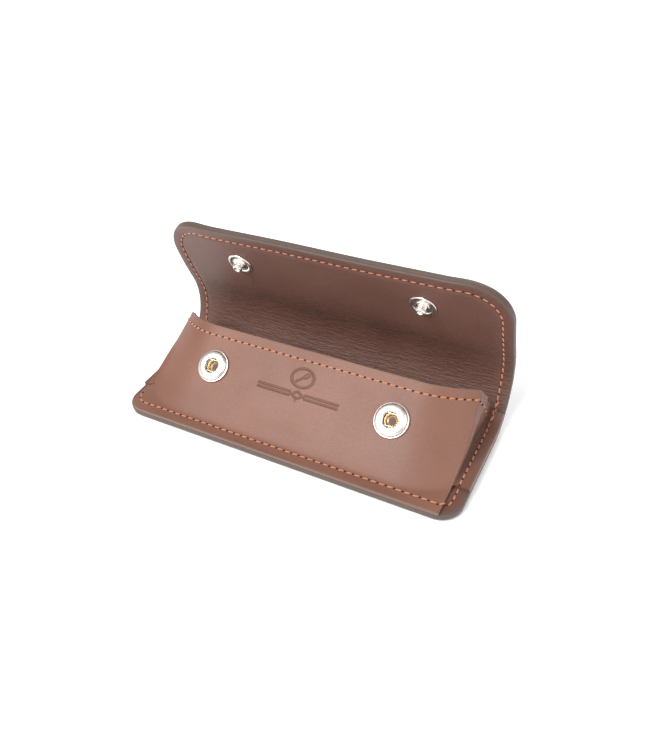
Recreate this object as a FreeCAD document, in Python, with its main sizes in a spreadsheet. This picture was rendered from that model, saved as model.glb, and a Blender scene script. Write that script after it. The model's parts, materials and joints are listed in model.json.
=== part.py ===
import FreeCAD, Part
import math
import os

import Sketcher
from FreeCAD import Placement, Rotation, Vector

# A leather roll case for brushes, standing open.  One long sheet, outer leather glued to a lining,
# makes the flat back, the roll behind it and the flap.  A formed pocket is sewn on the back, and two
# press-studs on the flap close into two spring sockets on the pocket.
# X runs along the case, Y from the front edge to the roll, Z up.  The origin is the middle of the
# flat underside that rests on the table.  All sizes are in millimetres and degrees.

SIZES = [
    ("case_length", 150.0, "end to end, along the fold"),
    ("base_depth", 45.0, "flat back, front edge to the first fold line"),
    ("lower_length", 12.0, "roll from the first to the second fold line, on the lining side"),
    ("lower_radius", 14.5, "lining-side radius of that stretch"),
    ("middle_length", 26.0, "roll from the second to the third fold line"),
    ("middle_radius", 23.2, "lining-side radius of that stretch"),
    ("upper_length", 6.0, "straight strip between the third and the fourth fold line"),
    ("flap_length", 33.3, "fourth fold line to the edge of the flap"),
    ("lower_fold", 23.0, "each lower fold line turns this far more when the case is closed"),
    ("upper_fold", 30.0, "each upper fold line turns this far more when the case is closed"),
    ("fold_gap", 0.7, "each strip stops this far short of its fold line"),
    ("front_corner", 9.0, "corner radius of the front edge"),
    ("flap_corner", 19.0, "corner radius of the flap"),
    ("outer_leather", 2.4, "thickness of the outer leather"),
    ("lining_leather", 1.2, "thickness of the lining"),
    ("board_thickness", 0.6, "stiffener let into the outer leather"),
    ("board_margin", 9.0, "leather left around a stiffener"),
    ("pocket_leather", 1.3, "thickness of the pocket's outer leather"),
    ("pocket_backing", 0.8, "thickness of the lining inside the pocket"),
    ("pocket_width", 134.0, "outside width of the pocket"),
    ("mouth_margin", 17.3, "middle of a socket to the mouth of the pocket, up the panel"),
    ("backing_start", 3.0, "the pocket's lining starts this far above the crease"),
    ("backing_play", 0.2, "room between that lining and each side wall"),
    ("flange_start", 14.0, "front edge to the start of a side flange"),
    ("flange_rise", 10.5, "the side flanges climb this far up the roll"),
    ("stud_margin", 17.8, "edge of the flap to the middle of a stud"),
    ("snap_spacing", 81.2, "between the two press-studs"),
    ("snap_play", 0.1, "air between a closed stud and its socket"),
    ("ring_diameter", 14.0, "socket ring"),
    ("ring_hole", 6.4, "hole through the socket ring"),
    ("ring_height", 2.5, "socket ring above the leather"),
    ("ring_shoulder", 1.4, "height of the ring's plain rim"),
    ("ring_crown", 11.2, "diameter of the ring's flat top"),
    ("groove_diameter", 9.2, "groove inside the ring that holds the springs"),
    ("groove_floor", 0.9, "groove above the leather"),
    ("groove_height", 1.0, "opening of that groove"),
    ("wire_diameter", 0.6, "spring wire"),
    ("wire_length", 7.4, "straight part of a spring wire"),
    ("wire_play", 0.05, "air between a wire and the stud's head"),
    ("eyelet_bore", 4.8, "hole through the eyelet"),
    ("eyelet_tube", 5.6, "outside of the eyelet's tube"),
    ("eyelet_flare", 6.2, "rolled end of the eyelet, inside the ring"),
    ("flare_height", 0.5, "rolled end above the leather"),
    ("eyelet_flange", 9.0, "eyelet's flange inside the pocket"),
    ("flange_height", 0.4, "thickness of that flange"),
    ("stud_base", 11.0, "base ring of a stud"),
    ("stud_base_height", 0.6, "thickness of the base ring"),
    ("stud_neck", 3.6, "neck of a stud"),
    ("stud_neck_top", 1.7, "neck above the lining"),
    ("stud_head", 4.2, "head of a stud"),
    ("stud_head_bottom", 2.1, "widest part of the head starts here"),
    ("stud_head_top", 3.0, "widest part of the head ends here"),
    ("stud_height", 3.5, "stud above the lining"),
    ("stud_tip", 3.2, "diameter of the rounded end"),
    ("stud_dimple", 1.8, "dimple in the rounded end"),
    ("dimple_depth", 0.6, "depth of that dimple"),
    ("rivet_head", 9.0, "hidden head of the rivet behind a stud"),
    ("rivet_shank", 2.6, "shank of that rivet"),
    ("rivet_rise", 2.4, "shank above the lining, inside the stud"),
    ("rivet_play", 0.2, "room around the rivet's head in the stiffener"),
    ("thread_diameter", 0.7, "sewing thread"),
    ("seam_inset", 4.2, "edge to the row of stitches"),
    ("seam_end", 0.5, "a run of thread stops this far short of a cut edge"),
    ("corner_sweep", 70.0, "part of a front corner that carries thread on the lining"),
]

doc = FreeCAD.newDocument("brush_roll_case")
dims = doc.addObject("Spreadsheet::Sheet", "dims")


def fill_sheet():
    """Write every size to a row of the sheet, with its meaning beside it."""
    for row, (alias, number, meaning) in enumerate(SIZES, start=1):
        dims.set(f"A{row}", meaning)
        dims.set(f"B{row}", str(number))
        dims.setAlias(f"B{row}", alias)
    doc.recompute()


def add_size(alias, number, meaning):
    """Add a worked-out size below the driving ones, so that features can be tied to it."""
    row = len(SIZES) + 1
    SIZES.append((alias, number, meaning))
    dims.set(f"A{row}", meaning)
    dims.set(f"B{row}", repr(number))
    dims.setAlias(f"B{row}", alias)
    doc.recompute()


def size(formula):
    """The value of a formula in the sheet's names."""
    return float(dims.evalExpression(tied(formula)))


def tied(formula):
    """A formula in the sheet's names, as FreeCAD wants it: each name with the sheet before it."""
    names = {alias for alias, _, _ in SIZES}
    words = []
    word = ""
    for letter in formula + " ":
        if letter.isalnum() or letter == "_":
            word += letter
            continue
        words.append(f"dims.{word}" if word in names else word)
        words.append(letter)
        word = ""
    return "".join(words).strip()


fill_sheet()
SIDES = (("left", "-1"), ("right", "1"))
EDGE_MATCH = 0.01
SHEET_SUM = "(outer_leather + lining_leather)"
SHEET = size(SHEET_SUM)
FLANGE_TOP = SHEET + size("pocket_leather")
STUD_PLACE = "(flap_length - stud_margin)"


# ---- Places along the sheet -------------------------------------------------------------------
# A frame lies on the sheet's outer face: its Y runs along the sheet, its Z towards the lining.


def along(length, radius=0.0):
    """From one frame to the next, after a straight or round stretch measured on the lining side."""
    if radius == 0.0:
        return Placement(Vector(0, length, 0), Rotation())
    turn = length / radius
    outside = radius + SHEET
    place = Vector(0, outside * math.sin(turn), outside * (1 - math.cos(turn)))
    return Placement(place, Rotation(Vector(1, 0, 0), math.degrees(turn)))


def folded(angle):
    """A turn about a fold line, which lies half-way through the sheet."""
    return Placement(Vector(), Rotation(Vector(1, 0, 0), angle), Vector(0, 0, SHEET / 2))


def closed_flap():
    """The flap's frame once every fold line has turned to its limit."""
    lower = folded(size("lower_fold"))
    upper = folded(size("upper_fold"))
    frame = FOLD_1 * lower * along(size("lower_length"), size("lower_radius"))
    frame = frame * lower * along(size("middle_length"), size("middle_radius"))
    return frame * upper * along(size("upper_length")) * upper


def place_panel():
    """The pocket's front panel lies parallel to the closed flap, and its sockets meet the studs."""
    flap = closed_flap()
    gap = size("ring_height + stud_base_height + snap_play")
    seat = flap.multVec(Vector(0, FLAP_STUD, SHEET + gap))
    back_up = flap.Rotation.multVec(Vector(0, -1, 0))
    slope = math.degrees(math.atan2(back_up.z, back_up.y))
    reach = (seat.z - FLANGE_TOP) / math.sin(math.radians(slope))
    add_size("panel_slope", slope, "front panel above the table")
    add_size("socket_reach", reach, "crease to the middle of a socket, up the panel")
    crease = seat.y - reach * math.cos(math.radians(slope))
    add_size("crease", crease, "place of the front panel's lower crease along Y")
    add_size("panel_length", reach + size("mouth_margin"), "front panel of the pocket, crease to mouth")


FOLD_1 = Placement(Vector(0, size("base_depth / 2"), 0), Rotation())
FOLD_2 = FOLD_1 * along(size("lower_length"), size("lower_radius"))
FOLD_3 = FOLD_2 * along(size("middle_length"), size("middle_radius"))
FOLD_4 = FOLD_3 * along(size("upper_length"))
FLAP_STUD = size(STUD_PLACE)
place_panel()
PANEL = Placement(Vector(0, size("crease"), FLANGE_TOP),
                  Rotation(Vector(1, 0, 0), size("panel_slope")))

# Formulas that several pieces share, in the sheet's names
MOUTH_Y = "(crease + panel_length * cos(panel_slope))"
MOUTH_Z = f"({SHEET_SUM} + pocket_leather + panel_length * sin(panel_slope))"
WALL_END = "(base_depth / 2 - 2 * fold_gap)"
BED = "(outer_leather - board_thickness)"
BOARD_HALF = "(case_length / 2 - board_margin)"
BACK_BOARD = (f"-{BOARD_HALF}", BOARD_HALF,
              "board_margin - base_depth / 2", "base_depth / 2 - board_margin")
FLAP_BOARD = (f"-{BOARD_HALF}", BOARD_HALF, "board_margin / 2", "flap_length - board_margin")


# ---- Ways of making a piece -------------------------------------------------------------------


def new_body(label, place=None):
    """An empty PartDesign body under its own label."""
    body = doc.addObject("PartDesign::Body", label)
    body.Label = label
    if place is not None:
        body.Placement = place
    return body


def new_sketch(body, name, role, offset=None, lift=None):
    """A sketch on one of the body's origin planes, moved off it by a placement or a tied height."""
    sketch = body.newObject("Sketcher::SketchObject", name)
    plane = next(f for f in body.Origin.OriginFeatures if f.Role == role)
    sketch.AttachmentSupport = [(plane, "")]
    sketch.MapMode = "FlatFace"
    if offset is not None:
        sketch.AttachmentOffset = offset
    if lift is not None:
        sketch.setExpression("AttachmentOffset.Base.z", tied(lift))
    return sketch


def tie(sketch, kind, name, formula, *where):
    """A dimension of the sketch, tied to a formula in the sheet's names."""
    index = sketch.addConstraint(Sketcher.Constraint(kind, *where, size(formula)))
    sketch.renameConstraint(index, name)
    sketch.setExpression(f"Constraints.{name}", tied(formula))


def outline(sketch, corners):
    """A closed outline of straight edges, every corner tied to the sheet."""
    start = sketch.GeometryCount
    points = [Vector(size(x), size(y), 0) for x, y in corners]
    for here, there in zip(points, points[1:] + points[:1]):
        sketch.addGeometry(Part.LineSegment(here, there), False)
    count = len(corners)
    for index, (x, y) in enumerate(corners):
        edge = start + index
        after = start + (index + 1) % count
        sketch.addConstraint(Sketcher.Constraint("Coincident", edge, 2, after, 1))
        tie(sketch, "DistanceX", f"x{edge}", x, -1, 1, edge, 1)
        tie(sketch, "DistanceY", f"y{edge}", y, -1, 1, edge, 1)


def rectangle(sketch, left, right, low, high):
    """A rectangle between four tied lines."""
    outline(sketch, [(left, low), (right, low), (right, high), (left, high)])


def round_hole(sketch, name, x, y, diameter):
    """A circle tied to a place and a diameter."""
    circle = Part.Circle(Vector(size(x), size(y), 0), Vector(0, 0, 1), size(diameter) / 2)
    edge = sketch.addGeometry(circle, False)
    tie(sketch, "DistanceX", f"{name}_x", x, -1, 1, edge, 3)
    tie(sketch, "DistanceY", f"{name}_y", y, -1, 1, edge, 3)
    tie(sketch, "Diameter", f"{name}_d", diameter, edge)


def pad(body, sketch, length, midplane=False):
    """Raise a sketch by a tied length."""
    feature = body.newObject("PartDesign::Pad", sketch.Name + "_pad")
    feature.Profile = sketch
    feature.Midplane = midplane
    feature.setExpression("Length", tied(length))
    doc.recompute()
    return feature


def pocket(body, sketch, length, midplane=False):
    """Cut a sketch by a tied length, and make sure that it did take material away."""
    before = body.Shape.Volume
    feature = body.newObject("PartDesign::Pocket", sketch.Name + "_cut")
    feature.Profile = sketch
    feature.Midplane = midplane
    feature.setExpression("Length", tied(length))
    doc.recompute()
    if not body.Shape.Volume < before:
        raise RuntimeError(f"{feature.Name} in {body.Label} cuts nothing")


def bend(body, sketch, radius, angle):
    """Turn a sketch about an axis along X that stands a tied radius above the frame."""
    height = size(radius)
    axis = sketch.addGeometry(Part.LineSegment(Vector(-1, height, 0), Vector(1, height, 0)), True)
    sketch.addConstraint(Sketcher.Constraint("Horizontal", axis))
    tie(sketch, "DistanceX", "axis_left", "-1", -1, 1, axis, 1)
    tie(sketch, "DistanceX", "axis_right", "1", -1, 1, axis, 2)
    tie(sketch, "DistanceY", "axis_height", radius, -1, 1, axis, 1)
    feature = body.newObject("PartDesign::Revolution", sketch.Name + "_bend")
    feature.Profile = sketch
    feature.ReferenceAxis = (sketch, ["Axis0"])
    feature.setExpression("Angle", tied(angle))
    doc.recompute()


def turned(label, corners, place):
    """A round piece: a half section turned about the local Z axis."""
    body = new_body(label, place)
    sketch = new_sketch(body, label + "_section", "XZ_Plane")
    outline(sketch, corners)
    feature = body.newObject("PartDesign::Revolution", label + "_turn")
    feature.Profile = sketch
    feature.ReferenceAxis = (sketch, ["V_Axis"])
    feature.Angle = 360.0
    doc.recompute()
    return body


def round_corners(body, feature, radius, along_y):
    """Round the upright edges that stand at one end of a flat piece."""
    names = []
    for number, edge in enumerate(feature.Shape.Edges, start=1):
        box = edge.BoundBox
        upright = box.ZLength > max(box.XLength, box.YLength)
        if upright and abs(box.Center.y - along_y) < EDGE_MATCH:
            names.append(f"Edge{number}")
    fillet = body.newObject("PartDesign::Fillet", feature.Name + "_round")
    fillet.Base = (feature, names)
    fillet.setExpression("Radius", tied(radius))
    doc.recompute()


def gather(label, pieces, place=None):
    """Several plain solids in one node."""
    group = doc.addObject("Part::Compound", label)
    group.Label = label
    group.Links = pieces
    if place is not None:
        group.Placement = place
    doc.recompute()
    return group


# ---- Thread: plain round runs that lie on the leather -----------------------------------------


def thread_run(name, start, direction, length):
    """A straight run of thread."""
    run = doc.addObject("Part::Cylinder", name)
    run.setExpression("Radius", tied("thread_diameter / 2"))
    run.setExpression("Height", tied(length))
    run.Placement = Placement(start, Rotation(Vector(0, 0, 1), direction))
    return run


def thread_arc(name, radius, angle, place):
    """A round run of thread: it starts on the place's X axis and turns about its Z axis."""
    run = doc.addObject("Part::Torus", name)
    run.setExpression("Radius1", tied(radius))
    run.setExpression("Radius2", tied("thread_diameter / 2"))
    run.setExpression("Angle3", tied(angle))
    run.Placement = place
    return run


def bent_thread(name, side, radius, height, angle):
    """A run of thread that follows a bent strip near one of its ends."""
    x = side * size("case_length / 2 - seam_inset")
    centre = Vector(x, 0, SHEET + size(radius))
    # the ring's own X points down at the leather and its own Z along the fold
    upwards = Rotation(Vector(0, 0, -1), Vector(0, 1, 0), Vector(1, 0, 0), "ZXY")
    return thread_arc(name, f"{radius} - {height} - thread_diameter / 2", angle,
                      Placement(centre, upwards))


# ---- The sheet: outer leather and lining ------------------------------------------------------


def flat_layer(label, low, thickness, start, end, corner, corner_end, place=None):
    """One leather layer of a flat stretch, from one line to another, with two rounded corners."""
    body = new_body(label, place)
    sketch = new_sketch(body, label + "_outline", "XY_Plane", lift=low)
    rectangle(sketch, "-case_length / 2", "case_length / 2", start, end)
    feature = pad(body, sketch, thickness)
    if corner:
        round_corners(body, feature, corner, size(corner_end))
    return body


def bent_layer(label, low, high, length, radius, frame):
    """One leather layer of a round stretch, short of its fold lines by the gap at both ends."""
    body = new_body(label, frame * along(size("fold_gap"), size(radius)))
    sketch = new_sketch(body, label + "_section", "XZ_Plane")
    rectangle(sketch, "-case_length / 2", "case_length / 2", low, high)
    bend(body, sketch, f"{radius} + {SHEET_SUM}", f"({length} - 2 * fold_gap) / {radius} * 180 / pi")
    return body


def make_layers():
    """Each stretch of the sheet in two layers: outer leather below, lining on top of it."""
    layers = [("outer", "0", "outer_leather"), ("lining", "outer_leather", "lining_leather")]
    for layer, low, thickness in layers:
        high = f"{low} + {thickness}"
        back = flat_layer(f"{layer}_back", low, thickness, "-base_depth / 2",
                          "base_depth / 2 - fold_gap", "front_corner", "-base_depth / 2")
        bent_layer(f"{layer}_lower_roll", low, high, "lower_length", "lower_radius", FOLD_1)
        bent_layer(f"{layer}_middle_roll", low, high, "middle_length", "middle_radius", FOLD_2)
        flat_layer(f"{layer}_upper_roll", low, thickness, "fold_gap", "upper_length - fold_gap",
                   None, None, FOLD_3)
        flap = flat_layer(f"{layer}_flap", low, thickness, "fold_gap", "flap_length",
                          "flap_corner", "flap_length", FOLD_4)
        if layer == "outer":
            recess(back, BACK_BOARD)
            recess(flap, FLAP_BOARD)
        else:
            stud_holes(flap, "outer_leather", "rivet_shank", "lining_leather")


def recess(body, board):
    """The shallow bed for a stiffener, cut down from the glued face of the outer leather."""
    sketch = new_sketch(body, body.Label + "_bed", "XY_Plane", lift="outer_leather")
    rectangle(sketch, *board)
    pocket(body, sketch, "board_thickness")


def stud_holes(body, low, diameter, depth):
    """Two holes for the rivets, cut down through a layer of the flap."""
    sketch = new_sketch(body, body.Label + "_holes", "XY_Plane", lift=f"{low} + {depth}")
    for name, side in SIDES:
        round_hole(sketch, name, f"{side} * snap_spacing / 2", STUD_PLACE, diameter)
    pocket(body, sketch, depth)


def make_boards():
    """The two stiffeners, which lie flush in the outer leather."""
    for label, board, place in (("back_board", BACK_BOARD, None), ("flap_board", FLAP_BOARD, FOLD_4)):
        body = new_body(label, place)
        sketch = new_sketch(body, label + "_outline", "XY_Plane", lift=BED)
        rectangle(sketch, *board)
        pad(body, sketch, "board_thickness")
        if label == "flap_board":
            stud_holes(body, BED, "rivet_head + 2 * rivet_play", "board_thickness")


# ---- The pocket -------------------------------------------------------------------------------


def make_pocket():
    """Front panel, side walls, front band and side flanges, formed from one piece of leather."""
    body = new_body("pocket_front")
    wedge = new_sketch(body, "wedge", "YZ_Plane")
    outline(wedge, [
        ("crease - pocket_leather / tan(panel_slope)", SHEET_SUM),
        (MOUTH_Y, MOUTH_Z),
        (f"{MOUTH_Y} + pocket_leather * sin(panel_slope)",
         f"{MOUTH_Z} - pocket_leather * cos(panel_slope)"),
        (WALL_END, f"{SHEET_SUM} + pocket_leather"),
        (WALL_END, SHEET_SUM),
    ])
    pad(body, wedge, "pocket_width", midplane=True)
    inside = new_sketch(body, "inside", "YZ_Plane")
    inner = "crease + pocket_leather / sin(panel_slope) - pocket_leather / tan(panel_slope)"
    above = f"{MOUTH_Z} + panel_length / 4"
    outline(inside, [
        (f"{inner} - {SHEET_SUM} / tan(panel_slope)", "0"),
        (f"{inner} + ({above} - {SHEET_SUM}) / tan(panel_slope)", above),
        ("base_depth / 2", above),
        ("base_depth / 2", "0"),
    ])
    pocket(body, inside, "pocket_width - 2 * pocket_leather", midplane=True)
    band = new_sketch(body, "band", "XY_Plane", lift=SHEET_SUM)
    rectangle(band, "-pocket_width / 2", "pocket_width / 2", "-base_depth / 2", "crease")
    pad(body, band, "pocket_leather")
    for name, side in SIDES:
        flange = new_sketch(body, f"{name}_flange", "XY_Plane", lift=SHEET_SUM)
        rectangle(flange, f"{side} * (pocket_width / 2 - pocket_leather)", f"{side} * case_length / 2",
                  "flange_start - base_depth / 2", WALL_END)
        pad(body, flange, "pocket_leather")
    eyelet_holes(body, "0", "2 * pocket_leather", PANEL)


def eyelet_holes(body, top, depth, offset=None):
    """Two holes for the eyelets, square to the panel."""
    place = (offset or Placement()) * Placement(Vector(0, 0, size(top)), Rotation())
    sketch = new_sketch(body, body.Label + "_holes", "XY_Plane", offset=place)
    for name, side in SIDES:
        round_hole(sketch, name, f"{side} * snap_spacing / 2", "socket_reach", "eyelet_tube")
    pocket(body, sketch, depth)


def make_pocket_lining():
    """The lining glued inside the front panel."""
    body = new_body("pocket_lining", PANEL)
    sketch = new_sketch(body, "pocket_lining_outline", "XY_Plane",
                        lift="-pocket_leather - pocket_backing")
    half = "(pocket_width / 2 - pocket_leather - backing_play)"
    rectangle(sketch, f"-{half}", half, "backing_start", "panel_length")
    pad(body, sketch, "pocket_backing")
    eyelet_holes(body, "-pocket_leather", "pocket_backing")


def make_flange_ends():
    """The upper ends of the pocket's side flanges, which are sewn to the roll and bend with it."""
    body = new_body("pocket_flange_ends", FOLD_1 * along(2 * size("fold_gap"), size("lower_radius")))
    sketch = new_sketch(body, "flange_section", "XZ_Plane")
    for _, side in SIDES:
        rectangle(sketch, f"{side} * pocket_width / 2", f"{side} * case_length / 2",
                  SHEET_SUM, f"{SHEET_SUM} + pocket_leather")
    bend(body, sketch, f"lower_radius + {SHEET_SUM}",
         "(flange_rise - 2 * fold_gap) / lower_radius * 180 / pi")


# ---- Press-studs ------------------------------------------------------------------------------


def make_snap(name, side):
    """One closure: ring, springs and eyelet on the pocket, stud and hidden rivet on the flap."""
    x = float(side) * size("snap_spacing / 2")
    socket = PANEL * Placement(Vector(x, size("socket_reach"), 0), Rotation())
    turned(f"{name}_socket_ring", [
        ("ring_hole / 2", "0"),
        ("ring_diameter / 2", "0"),
        ("ring_diameter / 2", "ring_shoulder"),
        ("ring_crown / 2", "ring_height"),
        ("ring_hole / 2", "ring_height"),
        ("ring_hole / 2", "groove_floor + groove_height"),
        ("groove_diameter / 2", "groove_floor + groove_height"),
        ("groove_diameter / 2", "groove_floor"),
        ("ring_hole / 2", "groove_floor"),
    ], socket)
    make_springs(name, socket)
    floor = "(-pocket_leather - pocket_backing)"
    turned(f"{name}_socket_eyelet", [
        ("eyelet_bore / 2", f"{floor} - flange_height"),
        ("eyelet_flange / 2", f"{floor} - flange_height"),
        ("eyelet_flange / 2", floor),
        ("eyelet_tube / 2", floor),
        ("eyelet_tube / 2", "0"),
        ("eyelet_flare / 2", "0"),
        ("eyelet_flare / 2", "flare_height"),
        ("eyelet_bore / 2", "flare_height"),
    ], socket)
    seat = FOLD_4 * Placement(Vector(x, FLAP_STUD, SHEET), Rotation())
    turned(f"{name}_stud", [
        ("rivet_shank / 2", "0"),
        ("stud_base / 2", "0"),
        ("stud_base / 2", "stud_base_height"),
        ("stud_neck / 2", "stud_base_height"),
        ("stud_neck / 2", "stud_neck_top"),
        ("stud_head / 2", "stud_head_bottom"),
        ("stud_head / 2", "stud_head_top"),
        ("stud_tip / 2", "stud_height"),
        ("stud_dimple / 2", "stud_height"),
        ("stud_dimple / 2", "stud_height - dimple_depth"),
        ("0", "stud_height - dimple_depth"),
        ("0", "rivet_rise"),
        ("rivet_shank / 2", "rivet_rise"),
    ], seat)
    turned(f"{name}_stud_rivet", [
        ("0", "-lining_leather - board_thickness"),
        ("rivet_head / 2", "-lining_leather - board_thickness"),
        ("rivet_head / 2", "-lining_leather"),
        ("rivet_shank / 2", "-lining_leather"),
        ("rivet_shank / 2", "rivet_rise"),
        ("0", "rivet_rise"),
    ], seat)


def make_springs(name, socket):
    """Two straight spring wires in the ring's groove, one each side of the hole."""
    wires = []
    offset = size("stud_head / 2 + wire_play + wire_diameter / 2")
    height = size("groove_floor + groove_height / 2")
    for number, sign in enumerate((-1, 1), start=1):
        wire = doc.addObject("Part::Cylinder", f"{name}_wire_{number}")
        wire.setExpression("Radius", tied("wire_diameter / 2"))
        wire.setExpression("Height", tied("wire_length"))
        start = Vector(-size("wire_length") / 2, sign * offset, height)
        wire.Placement = Placement(start, Rotation(Vector(0, 0, 1), Vector(1, 0, 0)))
        wires.append(wire)
    gather(f"{name}_socket_springs", wires, socket)


# ---- Seams ------------------------------------------------------------------------------------


def make_back_seam():
    """Thread on the front band, round the front corners and up the side flanges."""
    half = size("case_length / 2")
    front = -size("base_depth / 2")
    inset = size("seam_inset")
    on_lining = SHEET + size("thread_diameter / 2")
    on_pocket = on_lining + size("pocket_leather")
    end = size("seam_end")
    band_half = size("pocket_width / 2 - seam_end")
    runs = [thread_run("front_run", Vector(-band_half, front + inset, on_pocket), Vector(1, 0, 0),
                       "pocket_width - 2 * seam_end")]
    corner = size("front_corner")
    sweep = size("corner_sweep")
    for name, side in SIDES:
        sign = float(side)
        centre = Vector(sign * (half - corner), front + corner, on_lining)
        first = -sweep if sign > 0 else 180.0
        turn = Rotation(Vector(0, 0, 1), first)
        runs.append(thread_arc(f"{name}_corner", "front_corner - seam_inset", "corner_sweep",
                               Placement(centre, turn)))
        x = sign * (half - inset)
        runs.append(thread_run(f"{name}_low_run", Vector(x, front + corner, on_lining),
                               Vector(0, 1, 0), "flange_start - front_corner - seam_end"))
        start = Vector(x, front + size("flange_start") + end, on_pocket)
        runs.append(thread_run(f"{name}_flange_run", start, Vector(0, 1, 0),
                               f"{WALL_END} + base_depth / 2 - flange_start - 2 * seam_end"))
    gather("seam_back", runs)


def make_roll_seams():
    """Thread up both ends of the lower and the middle stretch of the roll, and of the strip."""
    lower = []
    middle = []
    upper = []
    for name, side in SIDES:
        sign = float(side)
        lower.append(bent_thread(f"{name}_lower_run", sign, "lower_radius", "pocket_leather",
                                 "(flange_rise - 2 * fold_gap) / lower_radius * 180 / pi"))
        middle.append(bent_thread(f"{name}_middle_run", sign, "middle_radius", "0",
                                  "(middle_length - 2 * fold_gap) / middle_radius * 180 / pi"))
        start = Vector(sign * size("case_length / 2 - seam_inset"), size("fold_gap"),
                       SHEET + size("thread_diameter / 2"))
        upper.append(thread_run(f"{name}_upper_run", start, Vector(0, 1, 0),
                                "upper_length - 2 * fold_gap"))
    gather("seam_lower_roll", lower, FOLD_1 * along(2 * size("fold_gap"), size("lower_radius")))
    gather("seam_middle_roll", middle, FOLD_2 * along(size("fold_gap"), size("middle_radius")))
    gather("seam_upper_roll", upper, FOLD_3)


def make_flap_seam():
    """Thread up both sides of the flap, round its corners and along its edge."""
    half = size("case_length / 2")
    inset = size("seam_inset")
    corner = size("flap_corner")
    tip = size("flap_length")
    height = SHEET + size("thread_diameter / 2")
    runs = [thread_run("tip_run", Vector(corner - half, tip - inset, height), Vector(1, 0, 0),
                       "case_length - 2 * flap_corner")]
    for name, side in SIDES:
        sign = float(side)
        start = Vector(sign * (half - inset), size("fold_gap"), height)
        runs.append(thread_run(f"{name}_flap_run", start, Vector(0, 1, 0),
                               "flap_length - flap_corner - fold_gap"))
        centre = Vector(sign * (half - corner), tip - corner, height)
        first = 0.0 if sign > 0 else 90.0
        runs.append(thread_arc(f"{name}_tip_arc", "flap_corner - seam_inset", "90",
                               Placement(centre, Rotation(Vector(0, 0, 1), first))))
    gather("seam_flap", runs, FOLD_4)


def make_mouth_seam():
    """Thread along the mouth of the pocket."""
    start = Vector(-size("pocket_width / 2 - seam_inset"), size("panel_length - seam_inset"),
                   size("thread_diameter / 2"))
    run = thread_run("mouth_run", start, Vector(1, 0, 0), "pocket_width - 2 * seam_inset")
    gather("seam_mouth", [run], PANEL)


# ---- Put together, check and write ------------------------------------------------------------


def check_document():
    """Stop at the first object that failed to compute."""
    doc.recompute()
    for thing in doc.Objects:
        if "Invalid" in thing.State or "Error" in thing.State:
            raise RuntimeError(f"{thing.Label} did not compute: {thing.State}")


def write_parts():
    """Write each labelled piece to its own file."""
    os.makedirs("parts", exist_ok=True)
    members = {piece for group in doc.Objects if group.TypeId == "Part::Compound"
               for piece in group.Links}
    for thing in doc.Objects:
        is_body = thing.TypeId == "PartDesign::Body"
        is_group = thing.TypeId == "Part::Compound"
        if thing in members or not (is_body or is_group):
            continue
        shape = thing.Shape
        if shape.isNull() or not shape.isValid() or not shape.Solids:
            raise RuntimeError(f"{thing.Label} has no valid solid")
        shape.exportStep(f"parts/{thing.Label}.step")
        print(f"{thing.Label}: {len(shape.Solids)} solid(s), {shape.Volume:.1f} mm3")


make_layers()
make_boards()
make_pocket()
make_pocket_lining()
make_flange_ends()
for snap_name, snap_side in SIDES:
    make_snap(snap_name, snap_side)
make_back_seam()
make_roll_seams()
make_flap_seam()
make_mouth_seam()
check_document()
write_parts()
print(f"panel slope {size('panel_slope'):.2f}, socket {size('socket_reach'):.2f} up the panel,"
      f" crease at y {size('crease'):.2f}, mouth at y {size(MOUTH_Y):.2f}, z {size(MOUTH_Z):.2f}")
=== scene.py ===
# %% [markdown]
# # A leather roll case for brushes, standing open
# One long sheet of leather, glued to a lining and sewn all round, makes the flat back, the roll
# behind it and the flap.  A formed pocket is sewn on the back, and two press-studs close the flap.
# The working model already exists as a frame of plain solids.  Here it gets its looks: every soft
# piece is modelled again as leather, in the same place, and the snaps are hung on the same bodies.

# %% Load the frame
import json
import math

import bmesh
import bpy
from mathutils import Matrix, Vector


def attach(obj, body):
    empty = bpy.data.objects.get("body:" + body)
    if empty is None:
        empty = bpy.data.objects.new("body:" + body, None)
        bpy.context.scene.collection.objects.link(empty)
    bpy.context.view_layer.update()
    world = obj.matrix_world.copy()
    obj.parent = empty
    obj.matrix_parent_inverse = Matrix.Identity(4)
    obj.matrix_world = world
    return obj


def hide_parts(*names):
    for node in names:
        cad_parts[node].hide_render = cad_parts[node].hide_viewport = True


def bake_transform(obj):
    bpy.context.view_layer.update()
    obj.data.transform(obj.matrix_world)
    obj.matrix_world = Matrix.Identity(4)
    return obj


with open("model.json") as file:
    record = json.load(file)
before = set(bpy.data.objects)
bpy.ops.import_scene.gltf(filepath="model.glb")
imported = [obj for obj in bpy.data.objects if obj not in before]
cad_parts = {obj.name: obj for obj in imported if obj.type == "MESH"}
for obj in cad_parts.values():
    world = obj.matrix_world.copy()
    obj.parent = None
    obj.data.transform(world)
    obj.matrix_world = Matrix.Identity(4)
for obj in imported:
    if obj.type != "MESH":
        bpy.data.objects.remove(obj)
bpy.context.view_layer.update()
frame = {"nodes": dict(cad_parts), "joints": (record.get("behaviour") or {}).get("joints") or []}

# %% [markdown]
# ## Measure the frame
# A maker measures the work in hand rather than guessing.  Sizes are in millimetres here, and a
# finished piece is scaled to metres once, at the very end.  `reach` says how far a node goes along
# any direction, which also works on pieces that stand at a slant.

# %% Sizes taken from the frame
MM = 0.001
TINY = 1e-4
ALONG_X = Vector((1, 0, 0))
ALONG_Y = Vector((0, 1, 0))
UP = Vector((0, 0, 1))


def reach(node, direction):
    """The nearest and the furthest mark of a node along a direction, in millimetres."""
    marks = [vertex.co.dot(direction) / MM for vertex in frame["nodes"][node].data.vertices]
    return min(marks), max(marks)


def middle_reach(node, direction):
    """The middle of a node along a direction."""
    return sum(reach(node, direction)) / 2


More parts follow.
